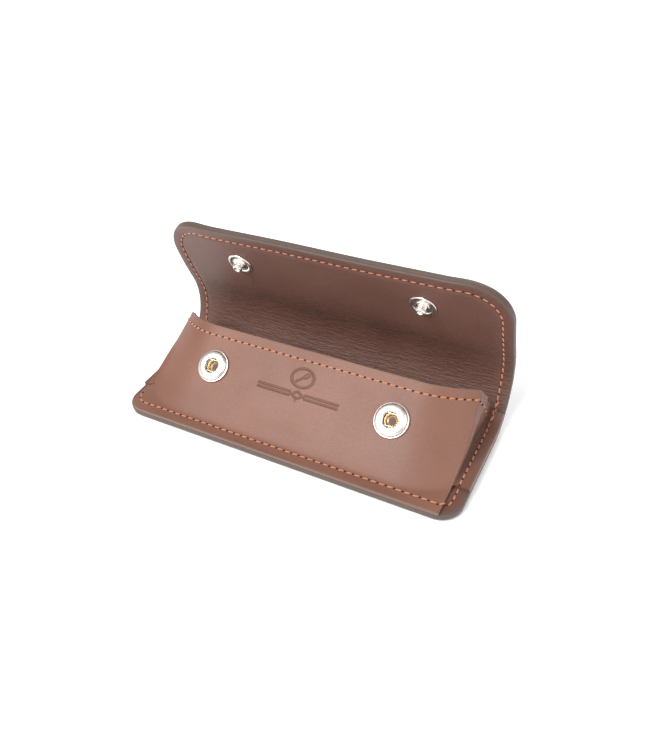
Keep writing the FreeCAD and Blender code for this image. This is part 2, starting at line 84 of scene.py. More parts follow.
CASE_HALF = reach("outer_back", ALONG_X)[1]
FRONT = reach("outer_back", ALONG_Y)[0]
OUTER = reach("outer_back", UP)[1]
SHEET = reach("lining_back", UP)[1]
MIDDLE = SHEET / 2
FOLDS = [Vector(joint["pos_m"]).yz / MM for joint in frame["joints"]]
print(f"half length {CASE_HALF:.1f}, outer leather {OUTER:.1f}, whole sheet {SHEET:.1f}")

# %% [markdown]
# ## The line that the sheet follows
# Seen from the end the sheet is one bent line.  It is flat, then turns through two round stretches,
# and then runs straight up the flap.  The four hinges of the frame stand on that line, so the line
# can be worked out from them: two round stretches between three points, each starting in the
# direction in which the one before ended.

# %% The middle line of the sheet


def heading(here, there):
    """Direction from one point to another, as an angle above the table."""
    return math.atan2(there.y - here.y, there.x - here.x)


def towards(angle):
    """A step of one millimetre in a direction."""
    return Vector((math.cos(angle), math.sin(angle)))


def arc_length(chord, turn):
    """Length of an arc that spans a chord while it turns by an angle."""
    return chord / 2 / math.sin(turn / 2) * turn


LOWER_TURN = 2 * heading(FOLDS[0], FOLDS[1])
MIDDLE_TURN = 2 * (heading(FOLDS[1], FOLDS[2]) - LOWER_TURN)
FLAP_ANGLE = LOWER_TURN + MIDDLE_TURN
FLAP_WAY = Vector((0, *towards(FLAP_ANGLE)))
FLAP_UP = Vector((0, *towards(FLAP_ANGLE + math.pi / 2)))
BACK_LENGTH = FOLDS[0].x - FRONT
LOWER_LENGTH = arc_length((FOLDS[1] - FOLDS[0]).length, LOWER_TURN)
MIDDLE_LENGTH = arc_length((FOLDS[2] - FOLDS[1]).length, MIDDLE_TURN)
STRIP_LENGTH = (FOLDS[3] - FOLDS[2]).length
FLAP_LENGTH = reach("outer_flap", FLAP_WAY)[1] - Vector((0, *FOLDS[3])).dot(FLAP_WAY)

STRETCHES = [
    (Vector((FRONT, MIDDLE)), 0.0, BACK_LENGTH, 0.0),
    (FOLDS[0], 0.0, LOWER_LENGTH, LOWER_TURN),
    (FOLDS[1], LOWER_TURN, MIDDLE_LENGTH, MIDDLE_TURN),
    (FOLDS[2], FLAP_ANGLE, STRIP_LENGTH + FLAP_LENGTH, 0.0),
]
FOLD_MARKS = [BACK_LENGTH]
for stretch in (LOWER_LENGTH, MIDDLE_LENGTH, STRIP_LENGTH):
    FOLD_MARKS.append(FOLD_MARKS[-1] + stretch)
LENGTH = FOLD_MARKS[-1] + FLAP_LENGTH


def on_line(mark):
    """The point and the direction of the middle line, at a distance from the front edge."""
    for start, angle, length, turn in STRETCHES:
        if mark <= length:
            break
        mark -= length
    else:
        mark += length
    bend = turn * mark / length
    step = mark if turn == 0 else 2 * length / turn * math.sin(bend / 2)
    return start + step * towards(angle + bend / 2), angle + bend


def on_sheet(x, mark, lift):
    """A point of the bent sheet.  The lift is counted from its middle towards the lining."""
    point, angle = on_line(mark)
    y, z = point + lift * towards(angle + math.pi / 2)
    return Vector((x, y, z))


print("sheet", round(LENGTH, 1), "mm long, fold lines at", [round(mark, 1) for mark in FOLD_MARKS])

# %% [markdown]
# ## Camera
# The case is seen from the right and from above, with the camera turned a little about its own
# axis.  The camera looks at a point near the middle of the case.

# %% Camera
CAMERA_AZIMUTH = math.radians(30.74)
CAMERA_HEIGHT = math.radians(39.34)
CAMERA_ROLL = math.radians(-4.52)
CAMERA_DISTANCE = 305.5
CAMERA_TARGET = Vector((-0.5, 23.8, 10.0))
CAMERA_LENS = 34.35

back_way = Vector((
    math.sin(CAMERA_AZIMUTH) * math.cos(CAMERA_HEIGHT),
    -math.cos(CAMERA_AZIMUTH) * math.cos(CAMERA_HEIGHT),
    math.sin(CAMERA_HEIGHT),
))
camera_data = bpy.data.cameras.new("camera")
camera_data.lens = CAMERA_LENS
camera = bpy.data.objects.new("camera", camera_data)
bpy.context.scene.collection.objects.link(camera)
camera.location = (CAMERA_TARGET + back_way * CAMERA_DISTANCE) * MM
camera.rotation_mode = "QUATERNION"
turn_about_view = Matrix.Rotation(CAMERA_ROLL, 3, back_way)
level_turn = (-back_way).to_track_quat("-Z", "Y").to_matrix()
camera.rotation_quaternion = (turn_about_view @ level_turn).to_quaternion()
bpy.context.scene.camera = camera
print("camera at", [round(value, 3) for value in camera.location])

# %% [markdown]
# ## Floor and light
# The case stands on a plain white floor under soft light: one strong lamp high in front and a
# little to the left, weaker ones on the right and behind, and a bright room all round.  Large lamps
# give soft shadows, which suits leather.

# %% Floor and light


def plain_stage(name, size, colour, roughness):
    """A flat floor that isn't part of the object."""
    mesh = bmesh.new()
    bmesh.ops.create_grid(mesh, x_segments=1, y_segments=1, size=size)
    data = bpy.data.meshes.new(name)
    mesh.to_mesh(data)
    mesh.free()
    floor = bpy.data.objects.new(name, data)
    bpy.context.scene.collection.objects.link(floor)
    material = bpy.data.materials.new(name)
    material.use_nodes = True
    shader = material.node_tree.nodes["Principled BSDF"]
    shader.inputs["Base Color"].default_value = (*colour, 1)
    shader.inputs["Roughness"].default_value = roughness
    data.materials.append(material)
    return floor


def soft_lamp(name, place, aim, size, watts):
    """A square lamp that shines from a place towards a point, both in metres."""
    data = bpy.data.lights.new(name, "AREA")
    data.size = size
    data.energy = watts
    lamp = bpy.data.objects.new(name, data)
    bpy.context.scene.collection.objects.link(lamp)
    lamp.location = place
    lamp.rotation_mode = "QUATERNION"
    lamp.rotation_quaternion = (Vector(aim) - Vector(place)).to_track_quat("-Z", "Y")
    return lamp


FLOOR_DROP = 0.0003
floor = plain_stage("floor", 4.0, (0.97, 0.97, 0.97), 0.9)
floor.location.z = -FLOOR_DROP
soft_lamp("key_lamp", (-0.35, -0.75, 0.95), (0, 0, 0.02), 0.7, 22.0)
soft_lamp("fill_lamp", (0.85, -0.15, 0.75), (0, 0, 0.02), 0.8, 4.5)
soft_lamp("back_lamp", (0.1, 0.9, 0.8), (0, 0, 0.03), 0.7, 6.0)
world = bpy.data.worlds.new("studio")
world.use_nodes = True
world.node_tree.nodes["Background"].inputs["Color"].default_value = (1, 1, 1, 1)
world.node_tree.nodes["Background"].inputs["Strength"].default_value = 0.5
bpy.context.scene.world = world
bpy.context.scene.view_settings.view_transform = "Standard"
print("floor", FLOOR_DROP * 1000, "mm under the case, three lamps")

# %% [markdown]
# ## Finishes: the parts that several of them share
# Leather is not one colour.  Its grain is a net of fine creases round small pillows, its tone
# drifts over the hide, and a bend opens fine wrinkles across it.  Each of those effects is a node
# group with named sockets, made once and placed in each material with its own values.  All of them
# read the coordinates of the flat hide, in millimetres, which every leather piece carries with it,
# so the grain follows the leather round a bend.

# %% Helpers for node trees


def feed(tree, socket, value):
    """Link another socket to this one, or give it a plain value."""
    if isinstance(value, bpy.types.NodeSocket):
        tree.links.new(value, socket)
    else:
        socket.default_value = value


def opaque(colour, factor=1.0):
    """A colour as a shader wants it, made lighter or darker by a factor."""
    return (*[min(1, factor * part) for part in colour], 1)


def add_node(tree, kind, settings=None, **sockets):
    """A node with its settings and its socket values; a socket name uses _ for a space."""
    node = tree.nodes.new(kind)
    for name, value in (settings or {}).items():
        setattr(node, name, value)
    for name, value in sockets.items():
        feed(tree, node.inputs[name.replace("_", " ")], value)
    return node


def calculate(tree, operation, *values, clamp=False):
    """One step of arithmetic, given back as a socket."""
    node = tree.nodes.new("ShaderNodeMath")
    node.operation = operation
    node.use_clamp = clamp
    for socket, value in zip(node.inputs, values):
        feed(tree, socket, value)
    return node.outputs[0]


def spread(tree, value, low, high, to_low=0.0, to_high=1.0):
    """A value moved smoothly from one range to another and held inside it."""
    node = add_node(tree, "ShaderNodeMapRange", {"interpolation_type": "SMOOTHSTEP"})
    for name, number in (("From Min", low), ("From Max", high), ("To Min", to_low), ("To Max", to_high)):
        node.inputs[name].default_value = number
    tree.links.new(value, node.inputs["Value"])
    return node.outputs[0]


def mix_colours(tree, share, first, second):
    """Two colours, mixed by a share."""
    node = add_node(tree, "ShaderNodeMix", {"data_type": "RGBA"})
    for number, value in ((0, share), (6, first), (7, second)):
        feed(tree, node.inputs[number], value)
    return node.outputs[2]


def noise(tree, vector, scale, detail=2.0, roughness=0.5, stretch=None):
    """Soft random tone; a stretch makes it longer along one side."""
    if stretch:
        mapping = add_node(tree, "ShaderNodeMapping", Vector=vector)
        mapping.inputs["Scale"].default_value = stretch
        vector = mapping.outputs[0]
    node = add_node(tree, "ShaderNodeTexNoise", Vector=vector, Scale=scale, Detail=detail,
                    Roughness=roughness)
    return node.outputs["Fac"]


def new_group(name, inputs, outputs):
    """An empty node group with named sockets, and its two end nodes."""
    group = bpy.data.node_groups.new(name, "ShaderNodeTree")
    for socket, kind, value in inputs:
        made = group.interface.new_socket(name=socket, in_out="INPUT", socket_type=kind)
        if value is not None:
            made.default_value = value
    for socket, kind in outputs:
        group.interface.new_socket(name=socket, in_out="OUTPUT", socket_type=kind)
    return group, group.nodes.new("NodeGroupInput").outputs, group.nodes.new("NodeGroupOutput").inputs


def use_group(tree, group, **sockets):
    """Place a group in a tree and give back its outputs."""
    node = tree.nodes.new("ShaderNodeGroup")
    node.node_tree = group
    for name, value in sockets.items():
        feed(tree, node.inputs[name.replace("_", " ")], value)
    return node.outputs


print("node helpers ready")

# %% [markdown]
# ### Grain
# Smooth full-grain leather has pillows of about a third of a millimetre with fine creases between
# them.  A Voronoi pattern gives the pillows, and a noise that bends its coordinates first keeps it
# from looking like a honeycomb.

# %% Group: grain of the hide
FLOAT = "NodeSocketFloat"
VECTOR = "NodeSocketVector"
grain_group, got, given = new_group(
    "hide_grain",
    [("Vector", VECTOR, None), ("Per mm", FLOAT, 2.6)],
    [("Height", FLOAT), ("Tone", FLOAT)],
)
wobble = add_node(grain_group, "ShaderNodeTexNoise", Vector=got["Vector"], Scale=0.9, Detail=3.0)
bent = add_node(grain_group, "ShaderNodeVectorMath", {"operation": "MULTIPLY_ADD"})
grain_group.links.new(wobble.outputs["Color"], bent.inputs[0])
bent.inputs[1].default_value = (0.5, 0.5, 0.5)
grain_group.links.new(got["Vector"], bent.inputs[2])
pillows = add_node(grain_group, "ShaderNodeTexVoronoi", {"feature": "SMOOTH_F1"},
                   Vector=bent.outputs[0], Scale=got["Per mm"], Smoothness=0.6)
fine = noise(grain_group, got["Vector"], 7.0, detail=3.0)
pillow_height = calculate(grain_group, "SUBTRACT", 1.0, pillows.outputs["Distance"])
grain_group.links.new(calculate(grain_group, "MULTIPLY_ADD", fine, 0.35, pillow_height), given["Height"])
drift = noise(grain_group, got["Vector"], 0.035, detail=2.0)
patches = noise(grain_group, got["Vector"], 0.8, detail=4.0, roughness=0.6)
grain_group.links.new(calculate(grain_group, "MULTIPLY_ADD", patches, 0.25,
                                calculate(grain_group, "MULTIPLY", drift, 0.75)), given["Tone"])
print("group", grain_group.name)

# %% [markdown]
# ### Wrinkles
# Where the sheet is bent with its lining inside, the lining is squeezed and falls into short
# wrinkles that run along the fold.  A noise that is stretched along the fold gives them, and a mask
# keeps them to the bend.  The lowest parts of that noise are the furrows, and the group also gives a
# mask of painted shade in them.

# %% Group: wrinkles in the bend
wrinkle_group, got, given = new_group(
    "bend_wrinkles",
    [("Vector", VECTOR, None), ("Start", FLOAT, 40.0), ("End", FLOAT, 90.0), ("Fade", FLOAT, 9.0)],
    [("Height", FLOAT), ("Furrow shade", FLOAT)],
)
split = add_node(wrinkle_group, "ShaderNodeSeparateXYZ", Vector=got["Vector"])
mark = split.outputs["Y"]
ramp_in = calculate(wrinkle_group, "DIVIDE", calculate(wrinkle_group, "SUBTRACT", mark, got["Start"]),
                    got["Fade"], clamp=True)
ramp_out = calculate(wrinkle_group, "DIVIDE", calculate(wrinkle_group, "SUBTRACT", got["End"], mark),
                     got["Fade"], clamp=True)
mask = calculate(wrinkle_group, "MULTIPLY", ramp_in, ramp_out)
broad = noise(wrinkle_group, got["Vector"], 1.0, detail=2.0, roughness=0.45, stretch=(0.2, 1.3, 1.0))
thin = noise(wrinkle_group, got["Vector"], 1.0, detail=2.0, stretch=(0.5, 3.0, 1.0))
long_ridges = calculate(wrinkle_group, "MULTIPLY", broad, 0.8)
ridges = calculate(wrinkle_group, "MULTIPLY_ADD", thin, 0.45, long_ridges)
wrinkle_group.links.new(calculate(wrinkle_group, "MULTIPLY", ridges, mask), given["Height"])
# Mask of painted shade in the furrows of the wrinkles.
furrow_shade = calculate(wrinkle_group, "MULTIPLY", mask, spread(wrinkle_group, ridges, 0.68, 0.48))
wrinkle_group.links.new(furrow_shade, given["Furrow shade"])
print("group", wrinkle_group.name)

# %% [markdown]
# ### Burnished edges
# A cut edge of leather is rubbed until it is dark, greyish and smooth.  Each leather piece carries
# a number called `rim`, which is 1 on the cut edge and falls to 0 on the face.  The group turns it
# into an uneven mask, because no edge is rubbed evenly.

# %% Group: burnished edge
burnish_group, got, given = new_group(
    "burnished_edge",
    [("Vector", VECTOR, None), ("Rim", FLOAT, 0.0), ("Width", FLOAT, 0.3)],
    [("Mask", FLOAT), ("Height", FLOAT)],
)
uneven = noise(burnish_group, got["Vector"], 0.35, detail=4.0, roughness=0.6)
worn = calculate(burnish_group, "MULTIPLY", uneven, got["Width"])
edge = calculate(burnish_group, "SUBTRACT", got["Rim"], worn)
burnish_group.links.new(spread(burnish_group, edge, 0.45, 0.85), given["Mask"])
fibres = noise(burnish_group, got["Vector"], 1.0, detail=3.0, stretch=(0.35, 0.35, 5.0))
burnish_group.links.new(calculate(burnish_group, "MULTIPLY", fibres, got["Rim"]), given["Height"])
print("group", burnish_group.name)

# %% [markdown]
# ### Handling marks
# Pale rubbed patches and a few fine scratches show that the case is used.

# %% Group: handling marks
marks_group, got, given = new_group(
    "handling_marks", [("Vector", VECTOR, None)], [("Rubbed", FLOAT), ("Scratches", FLOAT)])
cloud = noise(marks_group, got["Vector"], 0.045, detail=5.0, roughness=0.62)
marks_group.links.new(spread(marks_group, cloud, 0.45, 0.85), given["Rubbed"])
hairs = noise(marks_group, got["Vector"], 1.0, detail=1.0, stretch=(0.06, 1.7, 1.0))
marks_group.links.new(spread(marks_group, hairs, 0.7, 0.76), given["Scratches"])
print("group", marks_group.name)

# %% [markdown]
# ### The leather materials
# One function makes every leather from its own colours, grain and gloss.  The colour goes from
# a dark to a light tone of the same hide.  It gets painted shade in the creases of the grain, in the
# furrows of a bend and on the pocket's flanges, and it is darker where a die has pressed it.
# The burnished rim covers it near a cut edge.  The height of grain and wrinkles together goes
# through one Bump node.

# %% Leather materials
HIDE_BUMP = 0.00006
RUBBED_SHARE, RUBBED_TONE, RUBBED_DULL = 0.14, 1.35, 0.12
# Shares and tones of painted shade in the grain's creases, in the wrinkle furrows and on the pocket's
# flanges, and of the real darkening left by the die.
CREASE_SHADE_SHARE, CREASE_SHADE_TONE = 0.16, 0.55
FURROW_SHADE_SHARE, DIE_AND_FLANGE_SHADE_SHARE, DIE_AND_SHADE_TONE = 0.2, 0.55, 0.3
EDGE_SHINE = 0.08
FIBRE_HEIGHT = 0.8
SCRATCH_DEPTH = 0.25
LEATHER_SHEEN = 0.05
LINING_START = BACK_LENGTH - 6
LINING_END = FOLD_MARKS[3] + 2


def leather(name, dark, light, rim, per_mm=2.6, roughness=0.5, wrinkles=0.0):
    """A leather: its two tones, its edge colour, its grain, and how far a bend wrinkles it and paints
    shade in its furrows.
    """
    material = bpy.data.materials.new(name)
    material.use_nodes = True
    tree = material.node_tree
    shader = tree.nodes["Principled BSDF"]
    flat = add_node(tree, "ShaderNodeAttribute", {"attribute_name": "flat"}).outputs["Vector"]
    rim_value = add_node(tree, "ShaderNodeAttribute", {"attribute_name": "rim"}).outputs["Fac"]
    grain = use_group(tree, grain_group, Vector=flat, Per_mm=per_mm)
    burnish = use_group(tree, burnish_group, Vector=flat, Rim=rim_value)
    marks = use_group(tree, marks_group, Vector=flat)
    bends = use_group(tree, wrinkle_group, Vector=flat, Start=LINING_START, End=LINING_END)
    tone = spread(tree, grain["Tone"], 0.2, 0.8)
    colour = mix_colours(tree, tone, opaque(dark), opaque(light))
    pale = calculate(tree, "MULTIPLY", marks["Rubbed"], RUBBED_SHARE)
    rubbed = mix_colours(tree, pale, colour, opaque(light, RUBBED_TONE))
    # Painted shade: the creases between the grain's pillows are darkened towards the dark tone.
    pillow_tops = spread(tree, grain["Height"], 0.35, 0.75)
    grain_crease_shade = calculate(tree, "MULTIPLY_ADD", pillow_tops, -CREASE_SHADE_SHARE, CREASE_SHADE_SHARE)
    shaded = mix_colours(tree, grain_crease_shade, rubbed, opaque(dark, CREASE_SHADE_TONE))
    # The `die` attribute: real darkening where the die pressed the motif, and painted shade on the
    # pocket's lower walls and flanges.
    die_and_flange_shade_value = add_node(tree, "ShaderNodeAttribute", {"attribute_name": "die"}).outputs["Fac"]
    die_and_flange_shade = calculate(tree, "MULTIPLY", die_and_flange_shade_value, DIE_AND_FLANGE_SHADE_SHARE)
    # Painted shade in the wrinkle furrows, added to the die darkening and the flange shade, all towards
    # one dark tone.
    die_and_painted_shade = calculate(tree, "MULTIPLY_ADD", bends["Furrow shade"], min(wrinkles, 1) * FURROW_SHADE_SHARE, die_and_flange_shade,
                         clamp=True)
    die_and_shade_coloured = mix_colours(tree, die_and_painted_shade, shaded, opaque(dark, DIE_AND_SHADE_TONE))
    edged = mix_colours(tree, burnish["Mask"], die_and_shade_coloured, opaque(rim))
    tree.links.new(edged, shader.inputs["Base Color"])
    dull = calculate(tree, "MULTIPLY_ADD", marks["Rubbed"], RUBBED_DULL, roughness)
    gloss = calculate(tree, "MULTIPLY_ADD", burnish["Mask"], -EDGE_SHINE, dull)
    tree.links.new(gloss, shader.inputs["Roughness"])
    height = calculate(tree, "MULTIPLY_ADD", bends["Height"], wrinkles, grain["Height"])
    height = calculate(tree, "MULTIPLY_ADD", burnish["Height"], FIBRE_HEIGHT, height)
    height = calculate(tree, "MULTIPLY_ADD", marks["Scratches"], -SCRATCH_DEPTH, height)
    bump = add_node(tree, "ShaderNodeBump", Strength=1.0, Distance=HIDE_BUMP, Height=height)
    tree.links.new(bump.outputs[0], shader.inputs["Normal"])
    shader.inputs["Specular IOR Level"].default_value = 0.35
    shader.inputs["Sheen Weight"].default_value = LEATHER_SHEEN
    shader.inputs["Sheen Roughness"].default_value = 0.4
    return material


TAUPE = (0.082, 0.058, 0.048)
OUTER_LEATHER = leather("outer_leather", (0.085, 0.055, 0.044), (0.125, 0.083, 0.066), TAUPE)
LINING_LEATHER = leather("lining_leather", (0.090, 0.038, 0.027), (0.118, 0.052, 0.037),
                         (0.085, 0.052, 0.042), per_mm=2.2, wrinkles=8.0)
# The pocket has the lining's reddish brown, painted lighter: the extra lightness is painted light on the
# panel.
LIT_POCKET_LEATHER = leather("pocket_leather", (0.155, 0.068, 0.045), (0.194, 0.088, 0.059),
                         (0.15, 0.088, 0.066), per_mm=3.0, roughness=0.46)
print("leathers for the outside, the lining and the pocket")

# %% [markdown]
# ### Thread, metal and stiffener
# The thread is waxed and twisted, so it shines a little and has slanting plies.  The snaps are
# plated, and turned on a lathe in fine rings.  The spring wires and rivets are drawn or pressed, so
# their marks follow the metal itself.  A touch of tarnish lies on all of them in patches.

# %% Thread, metal and stiffener


def plain_shader(name, colour, roughness, metallic=0.0):
    """A material with its shader ready for more nodes."""
    material = bpy.data.materials.new(name)
    material.use_nodes = True
    shader = material.node_tree.nodes["Principled BSDF"]
    shader.inputs["Base Color"].default_value = (*colour, 1)
    shader.inputs["Roughness"].default_value = roughness
    shader.inputs["Metallic"].default_value = metallic
    return material, material.node_tree, shader


def thread_material(name, dark, light):
    """Waxed thread: plies wind round it, with painted shade between them and painted light on their
    crowns.
    """
    material, tree, shader = plain_shader(name, light, 0.42)
    own = add_node(tree, "ShaderNodeAttribute", {"attribute_name": "flat"}).outputs["Vector"]
    slanted = add_node(tree, "ShaderNodeMapping", Vector=own)
    slanted.inputs["Rotation"].default_value = (0, 0, math.radians(35))
    plies = add_node(tree, "ShaderNodeTexWave", {"bands_direction": "X"},
                     Vector=slanted.outputs[0], Scale=0.62, Distortion=0.6)
    fuzz = noise(tree, own, 3.0, detail=3.0)
    # Painted shade and light: the colour follows the ply pattern, darker in the grooves.
    ply_shading = calculate(tree, "MULTIPLY", plies.outputs["Fac"], 0.75)
    tone = calculate(tree, "MULTIPLY_ADD", fuzz, 0.4, ply_shading)
    tree.links.new(mix_colours(tree, tone, opaque(dark), opaque(light)), shader.inputs["Base Color"])
    bump = add_node(tree, "ShaderNodeBump", Strength=0.8, Distance=0.00008, Height=plies.outputs["Fac"])
    tree.links.new(bump.outputs[0], shader.inputs["Normal"])
    shader.inputs["Sheen Weight"].default_value = 0.3
    return material


def metal(name, bright, tarnish, roughness, on_lathe=True):
    """Plated metal, turned on a lathe or drawn: fine rings or lines, and tarnish in patches."""
    material, tree, shader = plain_shader(name, bright, roughness, 1.0)
    if on_lathe:
        own = add_node(tree, "ShaderNodeAttribute", {"attribute_name": "turned"}).outputs["Vector"]
    else:
        place = add_node(tree, "ShaderNodeTexCoord").outputs["Object"]
        in_mm = add_node(tree, "ShaderNodeMapping", Vector=place)
        in_mm.inputs["Scale"].default_value = (1 / MM, 1 / MM, 1 / MM)
        own = in_mm.outputs[0]
    rings = noise(tree, own, 1.0, detail=2.0, stretch=(9.0, 0.02, 1.0))
    cloud = noise(tree, own, 0.8, detail=4.0, roughness=0.65)
    patches = spread(tree, cloud, 0.55, 0.8, 0.0, 0.5)
    mottled = mix_colours(tree, patches, opaque(bright), opaque(tarnish))
    tree.links.new(mottled, shader.inputs["Base Color"])
    dull = calculate(tree, "MULTIPLY_ADD", patches, 0.3, roughness)
    rough = calculate(tree, "MULTIPLY_ADD", rings, 0.16, dull)
    tree.links.new(rough, shader.inputs["Roughness"])
    bump = add_node(tree, "ShaderNodeBump", Strength=0.25, Distance=0.00003, Height=rings)
    tree.links.new(bump.outputs[0], shader.inputs["Normal"])
    return material


def board_material(name):
    """Pressed fibre board: grey-brown with flecks."""
    material, tree, shader = plain_shader(name, (0.3, 0.26, 0.2), 0.85)
    place = add_node(tree, "ShaderNodeTexCoord").outputs["Object"]
    flecks = noise(tree, place, 900.0, detail=3.0)
    tree.links.new(mix_colours(tree, flecks, (0.2, 0.16, 0.12, 1), (0.42, 0.36, 0.29, 1)),
                   shader.inputs["Base Color"])
    return material


THREAD = thread_material("thread", (0.26, 0.06, 0.022), (0.62, 0.215, 0.09))
# Needle holes: dark lumps of painted shade on the leather, not cut holes.
NEEDLE_HOLE_SHADE = leather("needle_hole_shade", (0.016, 0.005, 0.004), (0.035, 0.012, 0.009), (0.02, 0.01, 0.01),
               roughness=0.8)
NICKEL = metal("nickel", (0.80, 0.76, 0.71), (0.50, 0.45, 0.41), 0.24)
BRASS = metal("brass", (0.80, 0.63, 0.40), (0.40, 0.28, 0.15), 0.3)
WIRE = metal("spring_wire", (0.78, 0.66, 0.48), (0.40, 0.30, 0.18), 0.3, on_lathe=False)
RIVET = metal("rivet_nickel", (0.80, 0.76, 0.71), (0.50, 0.45, 0.41), 0.3, on_lathe=False)
STIFFENER = board_material("stiffener")
print("thread, needle holes, nickel, brass, wire, rivets and board")

# %% [markdown]
# ## The sheet
# Leather is cut flat and bent afterwards, and it is modelled the same way.  The flat blank is a
# rectangle whose corners are rounded by a vertex bevel.  It is extruded to its thickness, its rims
# are rounded, and a shallow trough is inset where the thread will pull the leather down.  Only then
# is it cut by many planes, so that it can bend, and each of its points is moved to the bent line.

# %% Cutting the blank
FRONT_CORNER = 9.0
FLAP_CORNER = 19.0
SEAM_INSET = 4.2
TROUGH_HALF = 0.9
TROUGH_DEPTH = 0.28
CORNER_STEPS = 16


def cut_blank():
    """The flat outline: small round corners in front, large ones on the flap."""
    mesh = bmesh.new()
    bmesh.ops.create_grid(mesh, x_segments=1, y_segments=1, size=0.5)
    bmesh.ops.scale(mesh, vec=(2 * CASE_HALF, LENGTH, 1), verts=mesh.verts)
    bmesh.ops.translate(mesh, vec=(0, LENGTH / 2, 0), verts=mesh.verts)
    for at_front, radius in ((True, FRONT_CORNER), (False, FLAP_CORNER)):
        corners = [vert for vert in mesh.verts if (vert.co.y < LENGTH / 2) == at_front]
        bmesh.ops.bevel(mesh, geom=corners, affect="VERTICES", offset=radius, offset_type="OFFSET",
                        segments=CORNER_STEPS, profile=0.5, material=-1)
    return mesh


def thicken(mesh, low, high):
    """Give a flat outline its thickness."""
    bmesh.ops.translate(mesh, vec=(0, 0, low), verts=mesh.verts)
    grown = bmesh.ops.extrude_face_region(mesh, geom=mesh.faces[:])["geom"]
    raised = [item for item in grown if isinstance(item, bmesh.types.BMVert)]
    bmesh.ops.translate(mesh, vec=(0, 0, high - low), verts=raised)
    bmesh.ops.recalc_face_normals(mesh, faces=mesh.faces)


def round_rim(mesh, height, radius):
    """Round every edge that lies at one height."""
    rim = [edge for edge in mesh.edges
           if all(abs(vert.co.z - height) < TINY for vert in edge.verts)]
    bmesh.ops.bevel(mesh, geom=rim, affect="EDGES", offset=radius, offset_type="OFFSET",
                    segments=4, profile=0.5, material=-1)


def press_trough(mesh, upwards):
    """Inset a shallow trough for the seam on the face that looks up or down."""
    face = max(mesh.faces, key=lambda candidate: candidate.normal.z * upwards * candidate.calc_area())
    steps = ((SEAM_INSET - TROUGH_HALF, 0.0), (TROUGH_HALF, -TROUGH_DEPTH), (TROUGH_HALF, TROUGH_DEPTH))
    for inset, lift in steps:
        bmesh.ops.inset_region(mesh, faces=[face], thickness=inset, use_even_offset=True)
        bmesh.ops.translate(mesh, vec=(0, 0, lift * upwards), verts=face.verts)
    return face


blank = cut_blank()
print("blank with", len(blank.verts), "corner points")
blank.free()

# %% [markdown]
# ### Marks that bend with the leather
# Attributes travel with each point: `flat` remembers where it was on the flat hide, and `rim` says
# how near it is to the cut edge.  On the pocket a third one, `die`, says how far a hot die has
# darkened the leather; on the lower side walls and the flanges it carries painted shade.  Bending
# changes the place of a point but not its attributes.

# %% Cutting, bending and finishing a leather piece
MIDDLES = [
    0.0,
    (FOLD_MARKS[0] + FOLD_MARKS[1]) / 2,
    (FOLD_MARKS[1] + FOLD_MARKS[2]) / 2,
    (FOLD_MARKS[2] + FOLD_MARKS[3]) / 2,
    LENGTH,
]
BODIES = ["back", "lower_roll", "middle_roll", "upper_roll", "flap"]
EASE_LIMITS = [(6.0, 5.5), (5.5, 6.0), (7.0, 2.8), (2.8, 8.0)]


def marks_between(start, end, step):
    """Evenly spaced marks from one place to another, without the two ends."""
    count = max(1, round((end - start) / step))
    return [start + (end - start) * number / count for number in range(1, count)]


BEND_START = FOLD_MARKS[0] - 8
BEND_END = FOLD_MARKS[3] + 9
ACROSS = marks_between(-CASE_HALF, CASE_HALF, 4.0)
LENGTHWISE = (marks_between(0, BEND_START, 5.0) + [BEND_START]
              + marks_between(BEND_START, BEND_END, 0.9) + [BEND_END]
              + marks_between(BEND_END, LENGTH, 2.5) + MIDDLES[1:-1])


def cut_lines(mesh, direction, marks):
    """Cut a mesh by planes at several marks along a direction."""
    for mark in marks:
        everything = mesh.verts[:] + mesh.edges[:] + mesh.faces[:]
        bmesh.ops.bisect_plane(mesh, geom=everything, dist=TINY, plane_co=direction * mark,
                               plane_no=direction)


def keep_between(mesh, start, end):
    """Keep only the part of a flat slab between two marks, and close its cut ends."""
    for mark, outward in ((start, -1), (end, 1)):
        everything = mesh.verts[:] + mesh.edges[:] + mesh.faces[:]
        bmesh.ops.bisect_plane(mesh, geom=everything, dist=TINY, plane_co=ALONG_Y * mark,
                               plane_no=ALONG_Y * outward, clear_outer=True)
    open_edges = [edge for edge in mesh.edges if edge.is_boundary]
    if open_edges:
        bmesh.ops.holes_fill(mesh, edges=open_edges, sides=0)


def remember_flat(mesh):
    """Store the flat place of every point."""
    flat = mesh.verts.layers.float_vector.new("flat")
    for vert in mesh.verts:
        vert[flat] = vert.co


def finish_piece(mesh, name, materials, smooth_below=40.0):
    """Turn a mesh in millimetres into a smooth-shaded object in metres."""
    bmesh.ops.scale(mesh, vec=(MM, MM, MM), verts=mesh.verts)
    data = bpy.data.meshes.new(name)
    mesh.to_mesh(data)
    mesh.free()
    data.shade_smooth()
    data.set_sharp_from_angle(angle=math.radians(smooth_below))
    for material in materials:
        data.materials.append(material)
    piece = bpy.data.objects.new(name, data)
    bpy.context.scene.collection.objects.link(piece)
    return piece


def blend_at_fold(piece, number):
    """Bake a piece's place into its mesh; the ease round one fold line is worked out but not applied."""
    before, after = EASE_LIMITS[number]
    start = on_sheet(0, FOLD_MARKS[number] - before, 0) * MM
    end = on_sheet(0, FOLD_MARKS[number] + after, 0) * MM
    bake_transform(piece)


print("cut lines", len(ACROSS), "across and", len(LENGTHWISE), "lengthwise")

# %% [markdown]
# ### Slack
# A leather flap that stands open is never quite flat.  Its free corners lean back a little and its
# edge waves.  `slack` is a small lift in millimetres that is added before the sheet is bent.

# %% Slack in the sheet
CORNER_LEAN = 1.6
LEAN_START = 0.65
WAVE = 0.15
WAVE_ALONG_X = 11.0
WAVE_ALONG_SHEET = 17.0


